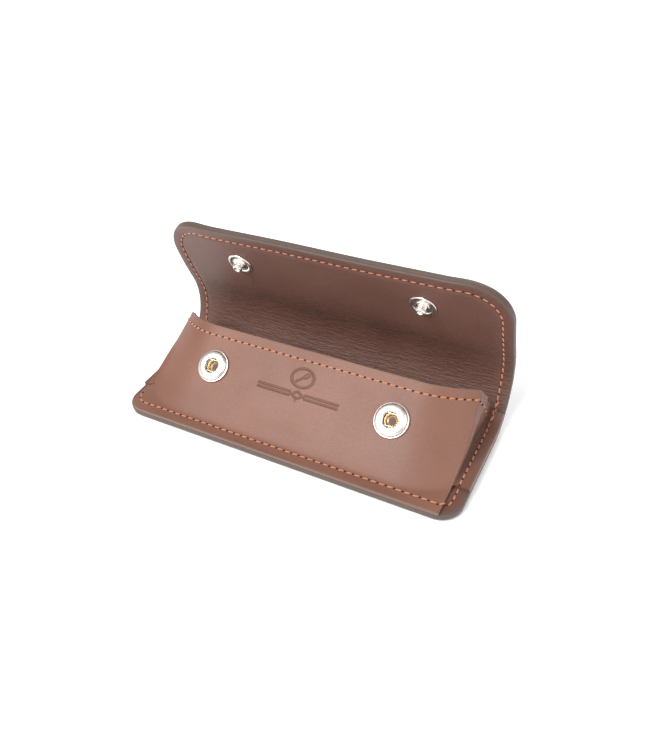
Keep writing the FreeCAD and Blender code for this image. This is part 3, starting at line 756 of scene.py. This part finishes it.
def smooth_share(value, low, high):
    """0 before low, 1 after high, and a smooth step between them."""
    share = min(1.0, max(0.0, (value - low) / (high - low)))
    return share * share * (3 - 2 * share)


def slack(x, mark):
    """How far the sheet stands off its middle line, towards the lining."""
    on_flap = smooth_share(mark, FOLD_MARKS[3], LENGTH)
    near_end = smooth_share(abs(x), LEAN_START * CASE_HALF, CASE_HALF)
    free = smooth_share(mark, FOLD_MARKS[0], FOLD_MARKS[3])
    wave = WAVE * math.sin(x / WAVE_ALONG_X) * math.sin(mark / WAVE_ALONG_SHEET) * free
    return wave - CORNER_LEAN * on_flap * near_end


def on_slack_sheet(x, mark, lift):
    """A point of the bent sheet, slack included."""
    return on_sheet(x, mark, lift + slack(x, mark))


def edge_distance(point):
    """Distance of a flat point from the nearest cut edge, round corners included."""
    in_front = point.y < LENGTH / 2
    radius = FRONT_CORNER if in_front else FLAP_CORNER
    x = abs(point.x) - (CASE_HALF - radius)
    y = (radius - point.y) if in_front else point.y - (LENGTH - radius)
    inside = math.hypot(x, y) if min(x, y) > 0 else max(x, y)
    return radius - inside


# %% [markdown]
# ### The two layers
# The outer leather is thick, and its cut edge is well rounded on the outside.  The lining is thin
# and is glued to its inner face.  Each layer is made as four pieces that meet in the middle of a
# stretch, so that each of them bends over one fold line only.

# %% The two layers of the sheet
RIM_WIDTH = SEAM_INSET / 2


def layer_slab(low, high, rim_low, rim_high, seam_side):
    """A flat slab with rounded rims, a pressed trough and the rim number on every point."""
    mesh = cut_blank()
    thicken(mesh, low, high)
    round_rim(mesh, low, rim_low)
    round_rim(mesh, high, rim_high)
    glued = max(mesh.faces, key=lambda face: -seam_side * face.normal.z * face.calc_area())
    bmesh.ops.inset_region(mesh, faces=[glued], thickness=RIM_WIDTH, use_even_offset=True)
    press_trough(mesh, seam_side)
    rim = mesh.verts.layers.float.new("rim")
    for vert in mesh.verts:
        vert[rim] = 1.0 if edge_distance(vert.co) < RIM_WIDTH - TINY else 0.0
    return mesh


def make_layer(layer, slab_sizes, material):
    """One layer of the sheet as four pieces, each of which bends over one fold line."""
    for number in range(4):
        start, end = MIDDLES[number], MIDDLES[number + 1]
        mesh = layer_slab(**slab_sizes)
        keep_between(mesh, start, end)
        cut_lines(mesh, ALONG_X, ACROSS)
        cut_lines(mesh, ALONG_Y, [mark for mark in LENGTHWISE if start < mark < end])
        remember_flat(mesh)
        for vert in mesh.verts:
            x, mark, height = vert.co
            vert.co = on_slack_sheet(x, mark, height - MIDDLE)
        upper = BODIES[number + 1]
        piece = finish_piece(mesh, f"{layer}_{upper}_bend", [material])
        blend_at_fold(piece, number)
        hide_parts(f"{layer}_{upper}")
        if number == 0:
            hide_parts(f"{layer}_back")
        print(piece.name, len(piece.data.polygons), "faces")


OUTER_SLAB = {"low": 0.0, "high": OUTER, "rim_low": 1.6, "rim_high": 0.25, "seam_side": -1}
LINING_SLAB = {"low": OUTER, "high": SHEET, "rim_low": 0.2, "rim_high": 0.45, "seam_side": 1}
make_layer("outer", OUTER_SLAB, OUTER_LEATHER)
make_layer("lining", LINING_SLAB, LINING_LEATHER)

# %% [markdown]
# ## The pocket
# The pocket is one piece of leather.  A band in front lies flat on the back, then the panel rises
# to the mouth.  At each end the panel rolls over into a side wall, which drops into a narrow valley
# and turns out again into a flange.  Near the ends the panel lies lower and its mouth sweeps back.
# The left end of the band is wider and follows the round corner of the sheet.
# A regular grid is made first, and each of its points is moved to the surface.  The grid's own two
# numbers are kept: `across` runs from the middle (0) over the fold (1) and down to the foot of the
# wall (2) and out to the edge (3), and `up` from the front edge (-1) over the crease (0) to the
# mouth (1).

# %% Sizes of the pocket
POCKET = 1.3
POCKET_LINING = 0.8
SLOPE = FLAP_ANGLE + sum(math.radians(joint["range_deg"][1]) for joint in frame["joints"]) - math.pi
PANEL_WAY = Vector((0, *towards(SLOPE)))
PANEL_UP = Vector((0, *towards(SLOPE + math.pi / 2)))
BED = SHEET + POCKET
PANEL_PLANE = reach("left_socket_ring", PANEL_UP)[0]
MOUTH_REACH = reach("pocket_front", PANEL_WAY)[1]
MOUTH = PANEL_WAY.yz * MOUTH_REACH + PANEL_UP.yz * PANEL_PLANE
CREASE = MOUTH - PANEL_WAY.yz * (MOUTH.y - BED) / math.sin(SLOPE)
PANEL_LENGTH = (MOUTH - CREASE).length
MOUTH_SWEEP = Vector((9.5, -4.5))
CREASE_SWEEP = Vector((6.5, 0))
END_MOUTH = MOUTH + MOUTH_SWEEP
END_CREASE = CREASE + CREASE_SWEEP
CROWN_START = 46.0
FOLD_X = 67.0
BAND_X = 68.6
LEFT_BAND_X = 72.4
FOOT_X = 69.5
CREASE_EASE = 1.2
SAG_PLACE = 0.24
SAG_WIDTH = 0.13
SAG_DEPTH = 0.4
RIPPLE = 0.42
CORNER_STEP = 0.4
FULL_WALL = 9.0
# Painted shade on the lower side walls and the flanges, carried in the `die` attribute.
FLANGE_SHADE = 0.8
FLANGE_START = 14.0
FLANGE_RISE = 13.0
print(f"panel {PANEL_LENGTH:.1f} mm long at {math.degrees(SLOPE):.1f} degrees, crease at {CREASE.x:.1f}")

# %% [markdown]
# ### The pressed motif
# A plain ornament is pressed into the panel with a heated die: a small brush in an oval ring, over
# two rules with a lozenge between them.  `pressed` gives the depth of the die at any place.

# %% The pressed motif
MOTIF_CENTRE = Vector((0.0, 28.6))
RULE_HEIGHT = 21.4
RULE_HALF = 18.0
STROKE = 0.42
PRESS_DEPTH = 0.3
RING_HALF = Vector((4.9, 3.9))
HANDLE = (Vector((-2.4, -1.9)), Vector((0.5, 0.4)))
TUFT = (Vector((1.0, 0.8)), Vector((1.9, 1.5)))
TUFT_HALF = 0.45
RULE_START = 3.2
RULE_GAP_HALF = 0.75
LOZENGE_HALF = (2.6, 1.5)
LOZENGE_SLOPE = 1.3


def to_segment(point, start, end):
    """Distance from a point to a straight stroke."""
    way = end - start
    share = min(1.0, max(0.0, (point - start).dot(way) / way.length_squared))
    return (point - start - way * share).length


def pressed(x, up_panel):
    """Depth of the die at a place on the panel, in millimetres."""
    here = Vector((x, up_panel)) - MOTIF_CENTRE
    scaled = math.hypot(here.x / RING_HALF.x, here.y / RING_HALF.y)
    ring = abs(scaled - 1) * RING_HALF.y
    handle = to_segment(here, *HANDLE)
    tuft = to_segment(here, *TUFT) - TUFT_HALF
    beside = abs(up_panel - RULE_HEIGHT)
    rules = STROKE * 3
    if abs(x) > RULE_START:
        rules = math.hypot(max(0.0, abs(x) - RULE_HALF), abs(beside - RULE_GAP_HALF))
    lozenge = abs(abs(x) / LOZENGE_HALF[0] + beside / LOZENGE_HALF[1] - 1) * LOZENGE_SLOPE
    nearest = min(ring, handle, tuft, rules, lozenge)
    return PRESS_DEPTH * (1 - smooth_share(nearest, STROKE / 2, STROKE * 1.5))


# %% [markdown]
# ### The surface of the pocket
# The panel is a straight rise between the crease and the mouth, eased where it leaves the band,
# with a shallow hollow in its lower part.  The side wall is one cubic curve from the fold to its
# foot: it starts outwards, so that the fold is round, and arrives from inside, so that a valley
# forms beside the seam.  Near the mouth it stands freer, and a few small ripples run along it.

# %% The surface of the pocket
CROWN_LIMIT = 1.1
NARROWS_FROM = 0.4
FREE_FROM = 0.55
OUTWARDS = Vector((2.6, 0.3, -1.4))
VALLEY_WIDE, VALLEY_SLIM = 3.6, 1.0
VALLEY_RISE, FREE_RISE = 0.3, 4
RIPPLES = 3
NUDGE = 0.004


def crown(x):
    """0 on the plain middle of the panel, growing to 1 at its ends."""
    share = max(0.0, (abs(x) - CROWN_START) / (FOLD_X - CROWN_START))
    return min(share, CROWN_LIMIT) ** 2


def panel_point(x, up):
    """A point of the band or of the front panel."""
    crease = CREASE.lerp(END_CREASE, crown(x))
    mouth = MOUTH.lerp(END_MOUTH, crown(x))
    run = mouth - crease
    slope = math.atan2(run.y, run.x)
    step = up * (run.length if up > 0 else crease.x - FRONT)
    eased = max(0.0, step)
    if abs(step) < CREASE_EASE:
        eased = (step + CREASE_EASE) ** 2 / 4 / CREASE_EASE
    sag = SAG_DEPTH * math.exp(-((up - SAG_PLACE) / SAG_WIDTH) ** 2) if up > 0 else 0.0
    sunk = pressed(x, step) + sag
    y = crease.x + step - (1 - math.cos(slope)) * eased + sunk * math.sin(slope)
    z = crease.y + math.sin(slope) * eased - sunk * math.cos(slope)
    return Vector((x, y, z))


def fold_x(side, up):
    """Half width of the panel.  On the left its foot is wider and follows the round corner."""
    if side > 0:
        return BAND_X + (FOLD_X - BAND_X) * smooth_share(up, NARROWS_FROM, 1.0)
    if up >= 0:
        return LEFT_BAND_X + (FOLD_X - LEFT_BAND_X) * up
    mark = (1 + up) * (END_CREASE.x - FRONT)
    corner = math.sqrt(max(0.0, FRONT_CORNER ** 2 - max(0.0, FRONT_CORNER - mark) ** 2))
    return min(LEFT_BAND_X, CASE_HALF - FRONT_CORNER + corner - CORNER_STEP)


def foot_point(share, up):
    """A point of the flange, from the foot of the wall (0) to the edge of the case (1)."""
    mark = FLANGE_START + (BACK_LENGTH + FLANGE_RISE - FLANGE_START) * up
    return on_sheet(FOOT_X + (CASE_HALF - FOOT_X) * share, mark, MIDDLE + POCKET)


def wall_point(side, share, up):
    """A point of a side wall, from the fold (0) to its foot (1), as if it stood on the right."""
    fold = panel_point(fold_x(side, up), up)
    foot = foot_point(0.0, up)
    room = min(1.0, max(0.0, fold.z - foot.z) / FULL_WALL)
    free = smooth_share(up, FREE_FROM, 1.0)
    out = fold + OUTWARDS * room
    inwards = VALLEY_WIDE * (1 - free) + VALLEY_SLIM
    tuck = foot + Vector((-inwards, 0, VALLEY_RISE + FREE_RISE * free)) * room
    rest = 1 - share
    point = (rest ** 3 * fold + 3 * rest ** 2 * share * out
             + 3 * rest * share ** 2 * tuck + share ** 3 * foot)
    point.x += RIPPLE * room * math.sin(RIPPLES * math.tau * share) * math.sin(math.pi * share)
    return point


def pocket_point(across, up):
    """A point of the pocket's outer face."""
    side = math.copysign(1, across)
    across = abs(across)
    if across <= 1:
        return panel_point(side * across * fold_x(side, up), up)
    point = wall_point(side, across - 1, up) if across <= 2 else foot_point(across - 2, up)
    return Vector((side * point.x, point.y, point.z))


def pocket_normal(across, up):
    """The outward direction of the pocket's face."""
    sideways = pocket_point(across + NUDGE, up) - pocket_point(across - NUDGE, up)
    upwards = pocket_point(across, up + NUDGE) - pocket_point(across, up - NUDGE)
    return sideways.cross(upwards).normalized()


print("mouth in the middle", [round(value, 1) for value in pocket_point(0, 1)])

# %% [markdown]
# ### The grid becomes leather
# The grid is fine where the die has pressed and round the sockets, and coarse elsewhere.  Faces that
# the real piece doesn't have are deleted: beside the band, in the open corner under each wall, and
# the holes for the eyelets.  Solidify then gives the leather its thickness, and Bevel softens its
# cut edges.

# %% Building the pocket
FINE = 0.22


def stops(*stretches):
    """Marks along several stretches, each given as start, end and step."""
    marks = [stretches[0][0]]
    for start, end, step in stretches:
        marks += marks_between(start, end, step) + [end]
    return marks


motif_half = (RULE_HALF + 1) / FOLD_X
motif_low = (RULE_HEIGHT - 2) / PANEL_LENGTH
motif_high = (MOTIF_CENTRE.y + RING_HALF.y + 1) / PANEL_LENGTH
HALF_ACROSS = stops((0, motif_half, FINE / FOLD_X), (motif_half, 0.53, 0.05), (0.53, 0.66, 0.009),
                    (0.66, 1, 0.025), (1, 2, 0.04), (2, 3, 0.25))
UPS = stops((-1, -0.94, 0.03), (-0.94, 0.3, 0.07), (0.3, motif_low, 0.05),
            (motif_low, motif_high, FINE / PANEL_LENGTH), (motif_high, 0.96, 0.03), (0.96, 1, 0.02))
OPENING = 0.05
EYELET_HOLE = 2.3
FLANGE_SHADE_START, FLANGE_SHADE_END = 1.3, 2.0
NEARLY = 0.999
POCKET_EDGE, LINING_EDGE = 0.25, 0.2
GLUE = 0.03
WALL_HEIGHT = 20.0
HIDE_OFFSET = 200.0
SOCKETS = [(middle_reach(f"{side}_socket_ring", ALONG_X), middle_reach(f"{side}_socket_ring", PANEL_WAY))
           for side in ("left", "right")]


def grid_on_surface(acrosses, ups, surface):
    """A regular grid whose points are moved to a surface; each keeps its two numbers."""
    mesh = bmesh.new()
    bmesh.ops.create_grid(mesh, x_segments=len(acrosses) - 1, y_segments=len(ups) - 1, size=1)
    own = mesh.verts.layers.float_vector.new("own")
    for vert in mesh.verts:
        column = round((vert.co.x + 1) / 2 * (len(acrosses) - 1))
        row = round((vert.co.y + 1) / 2 * (len(ups) - 1))
        vert[own] = Vector((acrosses[column], ups[row], 0))
        vert.co = surface(acrosses[column], ups[row])
    return mesh, own


def middle_of(face, own):
    """The middle of a face in the grid's own numbers."""
    return sum((vert[own] for vert in face.verts), Vector()) / len(face.verts)


def at_socket(face):
    """Whether a face reaches into the hole for an eyelet."""
    for x, along in SOCKETS:
        for vert in face.verts:
            if math.hypot(vert.co.x - x, vert.co.dot(PANEL_WAY) - along) < EYELET_HOLE:
                return True
    return False


def flat_marks(mesh, own):
    """Flat place, rim number, and die darkening with painted shade on the flanges, for every point of
    the pocket.
    """
    flat = mesh.verts.layers.float_vector.new("flat")
    rim = mesh.verts.layers.float.new("rim")
    die = mesh.verts.layers.float.new("die")
    for vert in mesh.verts:
        across, up, _ = vert[own]
        if abs(across) < 1 and up > 0:
            x = across * fold_x(math.copysign(1, across), up)
            vert[die] = pressed(x, up * PANEL_LENGTH) / PRESS_DEPTH
        # Painted shade, growing down the side walls and full on the flanges.
        vert[die] += FLANGE_SHADE * smooth_share(abs(across), FLANGE_SHADE_START, FLANGE_SHADE_END)
        beyond = max(0.0, abs(across) - 1)
        on_wall = WALL_HEIGHT * min(beyond, 1)
        on_flange = (CASE_HALF - FOOT_X) * max(0, beyond - 1)
        width = min(abs(across), 1) * FOLD_X + on_wall + on_flange
        vert[flat] = Vector((math.copysign(width, across), HIDE_OFFSET + up * PANEL_LENGTH, 0))
        at_edge = abs(up) > NEARLY or abs(across) > 2 + NEARLY
        vert[rim] = 1.0 if at_edge else 0.0


def add_thickness(piece, thickness, edge):
    """Leather thickness inwards from the outer face, with softened cut edges."""
    solid = piece.modifiers.new("thickness", "SOLIDIFY")
    solid.thickness = thickness
    solid.offset = -1
    soft = piece.modifiers.new("soft_edges", "BEVEL")
    soft.width = edge
    soft.segments = 2
    soft.limit_method = "ANGLE"
    soft.angle_limit = math.radians(50)


def make_pocket():
    """Band, panel, side walls and flanges as one skin."""
    acrosses = [-mark for mark in reversed(HALF_ACROSS[1:])] + HALF_ACROSS
    mesh, own = grid_on_surface(acrosses, UPS, pocket_point)
    unwanted = []
    for face in mesh.faces:
        across, up, _ = middle_of(face, own)
        beside_band = abs(across) > 1 and up < 0
        opening = 1 < abs(across) < 2 and up < OPENING
        if beside_band or opening or at_socket(face):
            unwanted.append(face)
    bmesh.ops.delete(mesh, geom=unwanted, context="FACES")
    flat_marks(mesh, own)
    piece = finish_piece(mesh, "pocket_skin", [LIT_POCKET_LEATHER])
    add_thickness(piece, POCKET * MM, POCKET_EDGE * MM)
    blend_at_fold(piece, 0)
    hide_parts("pocket_front", "pocket_flange_ends")
    print(piece.name, len(piece.data.polygons), "faces")


def inside_point(across, up):
    """A point on the pocket's lining, behind the panel."""
    return pocket_point(across, up) - (POCKET + GLUE) * pocket_normal(across, up)


def make_pocket_lining():
    """The thin lining glued behind the panel."""
    half = stops((0, 0.7, 0.06), (0.7, 0.985, 0.03))
    acrosses = [-mark for mark in reversed(half[1:])] + half
    mesh, own = grid_on_surface(acrosses, stops((0.1, 0.9, 0.1), (0.9, 0.995, 0.03)), inside_point)
    flat_marks(mesh, own)
    piece = finish_piece(mesh, "pocket_inner_skin", [LINING_LEATHER])
    add_thickness(piece, POCKET_LINING * MM, LINING_EDGE * MM)
    blend_at_fold(piece, 0)
    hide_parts("pocket_lining")
    print(piece.name, len(piece.data.polygons), "faces")


make_pocket()
make_pocket_lining()

# %% [markdown]
# ## Stitches
# The seam is sewn by machine with waxed thread.  Each stitch is a short swollen loop that lies a
# little aslant, and between two stitches the needle has left a hole, drawn as a flat dark lump of
# painted shade.  A stitch is a small sphere drawn out long.  It is made once for every step along a
# line, so it has few faces.

# %% Walking along a seam
PITCH = 3.35
STITCH_SIZE = Vector((2.5, 0.7, 0.58))
HOLE_SHADE_SIZE = Vector((1.15, 0.86, 0.36))
SLANT = math.radians(7)
STITCH_RINGS = (8, 6)
HOLE_SHADE_RINGS = (7, 4)


def even_steps(points, pitch):
    """Places spaced evenly along a line of points, each with the way ahead."""
    spans = [(there - here).length for here, there in zip(points, points[1:])]
    count = max(1, round(sum(spans) / pitch))
    step = sum(spans) / count
    target = step / 2
    walked = 0.0
    found = []
    for here, there, span in zip(points, points[1:], spans):
        while target <= walked + span and len(found) < count:
            found.append((here.lerp(there, (target - walked) / span), (there - here) / span))
            target += step
        walked += span
    return found, step


def add_lump(mesh, flat, sizes, frame_matrix, material_index, rings):
    """One small rounded lump of thread or shadow, in a local frame."""
    made = bmesh.ops.create_uvsphere(mesh, u_segments=rings[0], v_segments=rings[1], radius=0.5)["verts"]
    turn_flat = Matrix.Rotation(math.pi / 2, 4, "Y")
    bmesh.ops.transform(mesh, matrix=turn_flat, verts=made)
    bmesh.ops.scale(mesh, vec=sizes, verts=made)
    shift = frame_matrix.translation
    for vert in made:
        vert[flat] = vert.co + Vector((shift.x, shift.y, 0))
    bmesh.ops.transform(mesh, matrix=frame_matrix, verts=made)
    for face in {face for vert in made for face in vert.link_faces}:
        face.material_index = material_index


def local_frame(place, ahead, normal):
    """A frame at a place: its X runs ahead and its Z stands off the leather."""
    beside = normal.cross(ahead).normalized()
    ahead = beside.cross(normal)
    turn = Matrix((ahead, beside, normal)).transposed()
    return Matrix.Translation(place) @ turn.to_4x4()


def add_stitch(mesh, flat, frame_matrix, step, slant=SLANT, sizes=STITCH_SIZE):
    """A stitch and a dark lump of painted shade for the needle hole behind it."""
    turned = frame_matrix @ Matrix.Rotation(slant, 4, "Z")
    add_lump(mesh, flat, sizes, turned, 0, STITCH_RINGS)
    # The needle hole: a dark lump of painted shade.
    hole = frame_matrix @ Matrix.Translation((-step / 2, 0, 0))
    add_lump(mesh, flat, HOLE_SHADE_SIZE, hole, 1, HOLE_SHADE_RINGS)


def new_seam():
    """An empty mesh that stores flat places."""
    mesh = bmesh.new()
    return mesh, mesh.verts.layers.float_vector.new("flat")


print("a stitch is", tuple(STITCH_SIZE), "mm")

# %% [markdown]
# ### The seam round the sheet
# The outline of the blank, inset by the seam allowance, is the seam's own line.  Stitches show on
# both faces.  Where the seam crosses the pocket it lies on top of the pocket's leather.  At the
# upper ends of the flanges it is sewn back over itself, so the stitches there are doubled.

# %% The seam round the sheet
BACK_TACK = BACK_LENGTH + FLANGE_RISE
TACK_PITCHES = 1.6
TACK_SHIFT = Vector((0.45, 0.8, 0))
TACK_SWELL = 1.12
HALF_LOOK = 0.4


def seam_line():
    """The inset outline of the sheet, as a closed line of flat points."""
    mesh = cut_blank()
    mesh.faces.ensure_lookup_table()
    face = mesh.faces[0]
    bmesh.ops.inset_region(mesh, faces=[face], thickness=SEAM_INSET, use_boundary=True,
                           use_even_offset=True)
    points = [vert.co.copy() for vert in face.verts]
    mesh.free()
    return points + points[:1]


def pocket_lies_under(x, mark):
    """Whether the seam crosses the pocket's band or one of its flanges here."""
    on_band = mark < FRONT_CORNER and -LEFT_BAND_X < x < BAND_X
    on_flange = abs(x) > FOLD_X and FLANGE_START < mark < BACK_TACK
    return on_band or on_flange


def sheet_frame(point, way, face_side):
    """The local frame of a stitch on the lining (1) or on the outer leather (-1)."""
    lift = face_side * MIDDLE
    if face_side > 0 and pocket_lies_under(point.x, point.y):
        lift += POCKET
    else:
        lift -= face_side * TROUGH_DEPTH / 2
    before = on_slack_sheet(*(point - way * HALF_LOOK).xy, lift)
    after = on_slack_sheet(*(point + way * HALF_LOOK).xy, lift)
    _, angle = on_line(point.y)
    normal = Vector((0, -math.sin(angle), math.cos(angle))) * face_side
    return local_frame((before + after) / 2, (after - before).normalized(), normal)


def make_sheet_seams():
    """Four pieces of the seam, each of which bends over one fold line."""
    steps, step = even_steps(seam_line(), PITCH)
    for number in range(4):
        mesh, flat = new_seam()
        for point, way in steps:
            if not MIDDLES[number] <= point.y < MIDDLES[number + 1]:
                continue
            for face_side in (1, -1):
                add_stitch(mesh, flat, sheet_frame(point, way, face_side), step)
            if abs(point.x) > FOLD_X and abs(point.y - BACK_TACK) < TACK_PITCHES * PITCH:
                doubled = sheet_frame(point + TACK_SHIFT, way, 1)
                add_stitch(mesh, flat, doubled, step, -SLANT, STITCH_SIZE * TACK_SWELL)
        piece = finish_piece(mesh, f"seam_{BODIES[number + 1]}_bend", [THREAD, NEEDLE_HOLE_SHADE],
                             smooth_below=180)
        blend_at_fold(piece, number)
        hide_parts(f"seam_{BODIES[number + 1]}")
        if number == 0:
            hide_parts("seam_back")
        print(piece.name, len(piece.data.polygons), "faces")


make_sheet_seams()

# %% [markdown]
# ### The seam along the mouth
# This seam follows the mouth of the pocket, turns the corner and runs down the slanting edge of
# each side wall.  Its points come from the pocket's surface.

# %% The seam along the mouth
MOUTH_STEPS = 100
MOUTH_SEAM_END = 192


def make_mouth_seam():
    """Stitches a little below the mouth, from one flange to the other."""
    up = 1 - SEAM_INSET / PANEL_LENGTH
    acrosses = [number / MOUTH_STEPS for number in range(-MOUTH_SEAM_END, MOUTH_SEAM_END + 1)]
    points = [pocket_point(across, up) for across in acrosses]
    steps, step = even_steps(points, PITCH)
    mesh, flat = new_seam()
    for place, ahead in steps:
        nearest = min(range(len(points)), key=lambda number: (points[number] - place).length_squared)
        normal = pocket_normal(acrosses[nearest], up)
        add_stitch(mesh, flat, local_frame(place, ahead, normal), step)
    piece = finish_piece(mesh, "mouth_stitches", [THREAD, NEEDLE_HOLE_SHADE], smooth_below=180)
    blend_at_fold(piece, 0)
    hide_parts("seam_mouth")
    print(piece.name, len(steps), "stitches")


make_mouth_seam()

# %% [markdown]
# ## Press-studs
# A snap is turned metal, so each part is half a section spun round its own axis.  The socket is a
# domed ring over a brass eyelet, with two spring wires that grip the stud.  Every point keeps its
# distance from the axis and its angle, so that the metal's fine rings follow the lathe.

# %% Turned pieces
SPIN_STEPS = 64
CORNER_ARC = 3
CORNER_ROOM = 2.2


def spin_section(section, name, place, material):
    """Spin a closed half section round the local Z axis and put it in place."""
    mesh = bmesh.new()
    corners = [mesh.verts.new((radius, 0, height)) for radius, height in section]
    edges = [mesh.edges.new(pair) for pair in zip(corners, corners[1:] + corners[:1])]
    bmesh.ops.spin(mesh, geom=corners + edges, cent=(0, 0, 0), axis=UP, angle=2 * math.pi,
                   steps=SPIN_STEPS, use_merge=True)
    bmesh.ops.remove_doubles(mesh, verts=mesh.verts, dist=TINY)
    bmesh.ops.recalc_face_normals(mesh, faces=mesh.faces)
    turned = mesh.verts.layers.float_vector.new("turned")
    for vert in mesh.verts:
        radius = vert.co.xy.length
        vert[turned] = Vector((radius, math.atan2(vert.co.y, vert.co.x), vert.co.z))
    bmesh.ops.transform(mesh, matrix=place, verts=mesh.verts)
    return finish_piece(mesh, name, [material], smooth_below=50)


def rounded(corners, radius):
    """A half section whose corners are rounded by small arcs, as points."""
    points = []
    count = len(corners)
    for index, corner in enumerate(corners):
        here = Vector(corner)
        before = Vector(corners[index - 1]) - here
        after = Vector(corners[(index + 1) % count]) - here
        cut = min(radius, before.length / CORNER_ROOM, after.length / CORNER_ROOM)
        if here.x < TINY:
            points.append(here)
            continue
        first = here + before.normalized() * cut
        last = here + after.normalized() * cut
        for step in range(CORNER_ARC + 1):
            share = step / CORNER_ARC
            points.append(first.lerp(here, share).lerp(here.lerp(last, share), share))
    return [tuple(point) for point in points]


def seat_frame(x, way, up, along, height):
    """Frame of a snap: its X along the case, its Z out of the leather."""
    turn = Matrix((ALONG_X, way, up)).transposed()
    place = ALONG_X * x + way * along + up * height
    return Matrix.Translation(place) @ turn.to_4x4()


# %% [markdown]
# ### The socket on the pocket
# The ring's dome falls from a flat crown to a thin rim, and its mouth is countersunk.  Inside, the
# brass eyelet is rolled over like a funnel.

# %% Sockets
DOME_ROUND, FUNNEL_ROUND = 0.22, 0.2
RING_DOME = [
    (3.25, 0.0), (3.25, 0.9), (4.6, 0.9), (4.6, 1.85), (3.05, 1.85), (3.05, 2.15), (3.5, 2.46),
    (4.7, 2.5), (5.7, 2.25), (6.35, 1.75), (6.5, 1.2), (6.5, 1.0), (6.95, 0.95), (7.0, 0.3), (6.9, 0.0),
]
EYELET_FUNNEL = [
    (1.15, -2.5), (4.4, -2.5), (4.4, -2.15), (2.75, -2.15), (2.75, 0.0), (3.1, 0.05), (3.0, 0.5),
    (2.55, 0.5), (2.2, -0.1), (2.15, -1.0), (1.15, -1.5),
]


def make_socket(name):
    """Ring and eyelet of one socket."""
    ring = f"{name}_socket_ring"
    place = seat_frame(middle_reach(ring, ALONG_X), PANEL_WAY, PANEL_UP, middle_reach(ring, PANEL_WAY),
                       reach(ring, PANEL_UP)[0])
    dome = spin_section(rounded(RING_DOME, DOME_ROUND), f"{name}_socket_dome", place, NICKEL)
    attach(dome, "back")
    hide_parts(ring)
    funnel = spin_section(rounded(EYELET_FUNNEL, FUNNEL_ROUND), f"{name}_socket_funnel", place, BRASS)
    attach(funnel, "back")
    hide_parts(f"{name}_socket_eyelet")
    print(dome.name, "at", [round(value, 4) for value in place.translation * MM])


for side_name in ("left", "right"):
    make_socket(side_name)

# %% [markdown]
# ### The stud on the flap
# The stud is drawn from one disc: a flat ring with a trough in it, and a hollow post with a
# bulbous end.

# %% Studs
STUD_ROUND = 0.2
STUD_SECTION = [
    (0.0, 0.1), (2.6, 0.0), (5.4, 0.0), (5.5, 0.35), (5.2, 0.6), (4.3, 0.6), (3.9, 0.3), (2.9, 0.3),
    (2.55, 0.62), (1.85, 0.75), (1.75, 1.6), (2.1, 2.15), (2.1, 2.9), (1.6, 3.45), (1.05, 3.45),
    (0.8, 2.6), (0.0, 2.5),
]


def make_stud(name):
    """The stud of one snap."""
    node = f"{name}_stud"
    place = seat_frame(middle_reach(node, ALONG_X), FLAP_WAY, FLAP_UP, middle_reach(node, FLAP_WAY),
                       reach(node, FLAP_UP)[0])
    post = spin_section(rounded(STUD_SECTION, STUD_ROUND), f"{name}_stud_post", place, NICKEL)
    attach(post, "flap")
    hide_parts(node)
    print(post.name, len(post.data.polygons), "faces")


for side_name in ("left", "right"):
    make_stud(side_name)

# %% [markdown]
# ## Pieces that keep their plain shape
# The spring wires, the rivets and the stiffeners already have the right shape in the frame, so
# they only get a finish.

# %% Finishes for the frame's own pieces
KEPT = {
    "left_socket_springs": WIRE, "right_socket_springs": WIRE,
    "left_stud_rivet": RIVET, "right_stud_rivet": RIVET,
    "back_board": STIFFENER, "flap_board": STIFFENER,
}
for node, material in KEPT.items():
    data = frame["nodes"][node].data
    data.materials.clear()
    data.materials.append(material)
print(len(KEPT), "frame pieces finished")
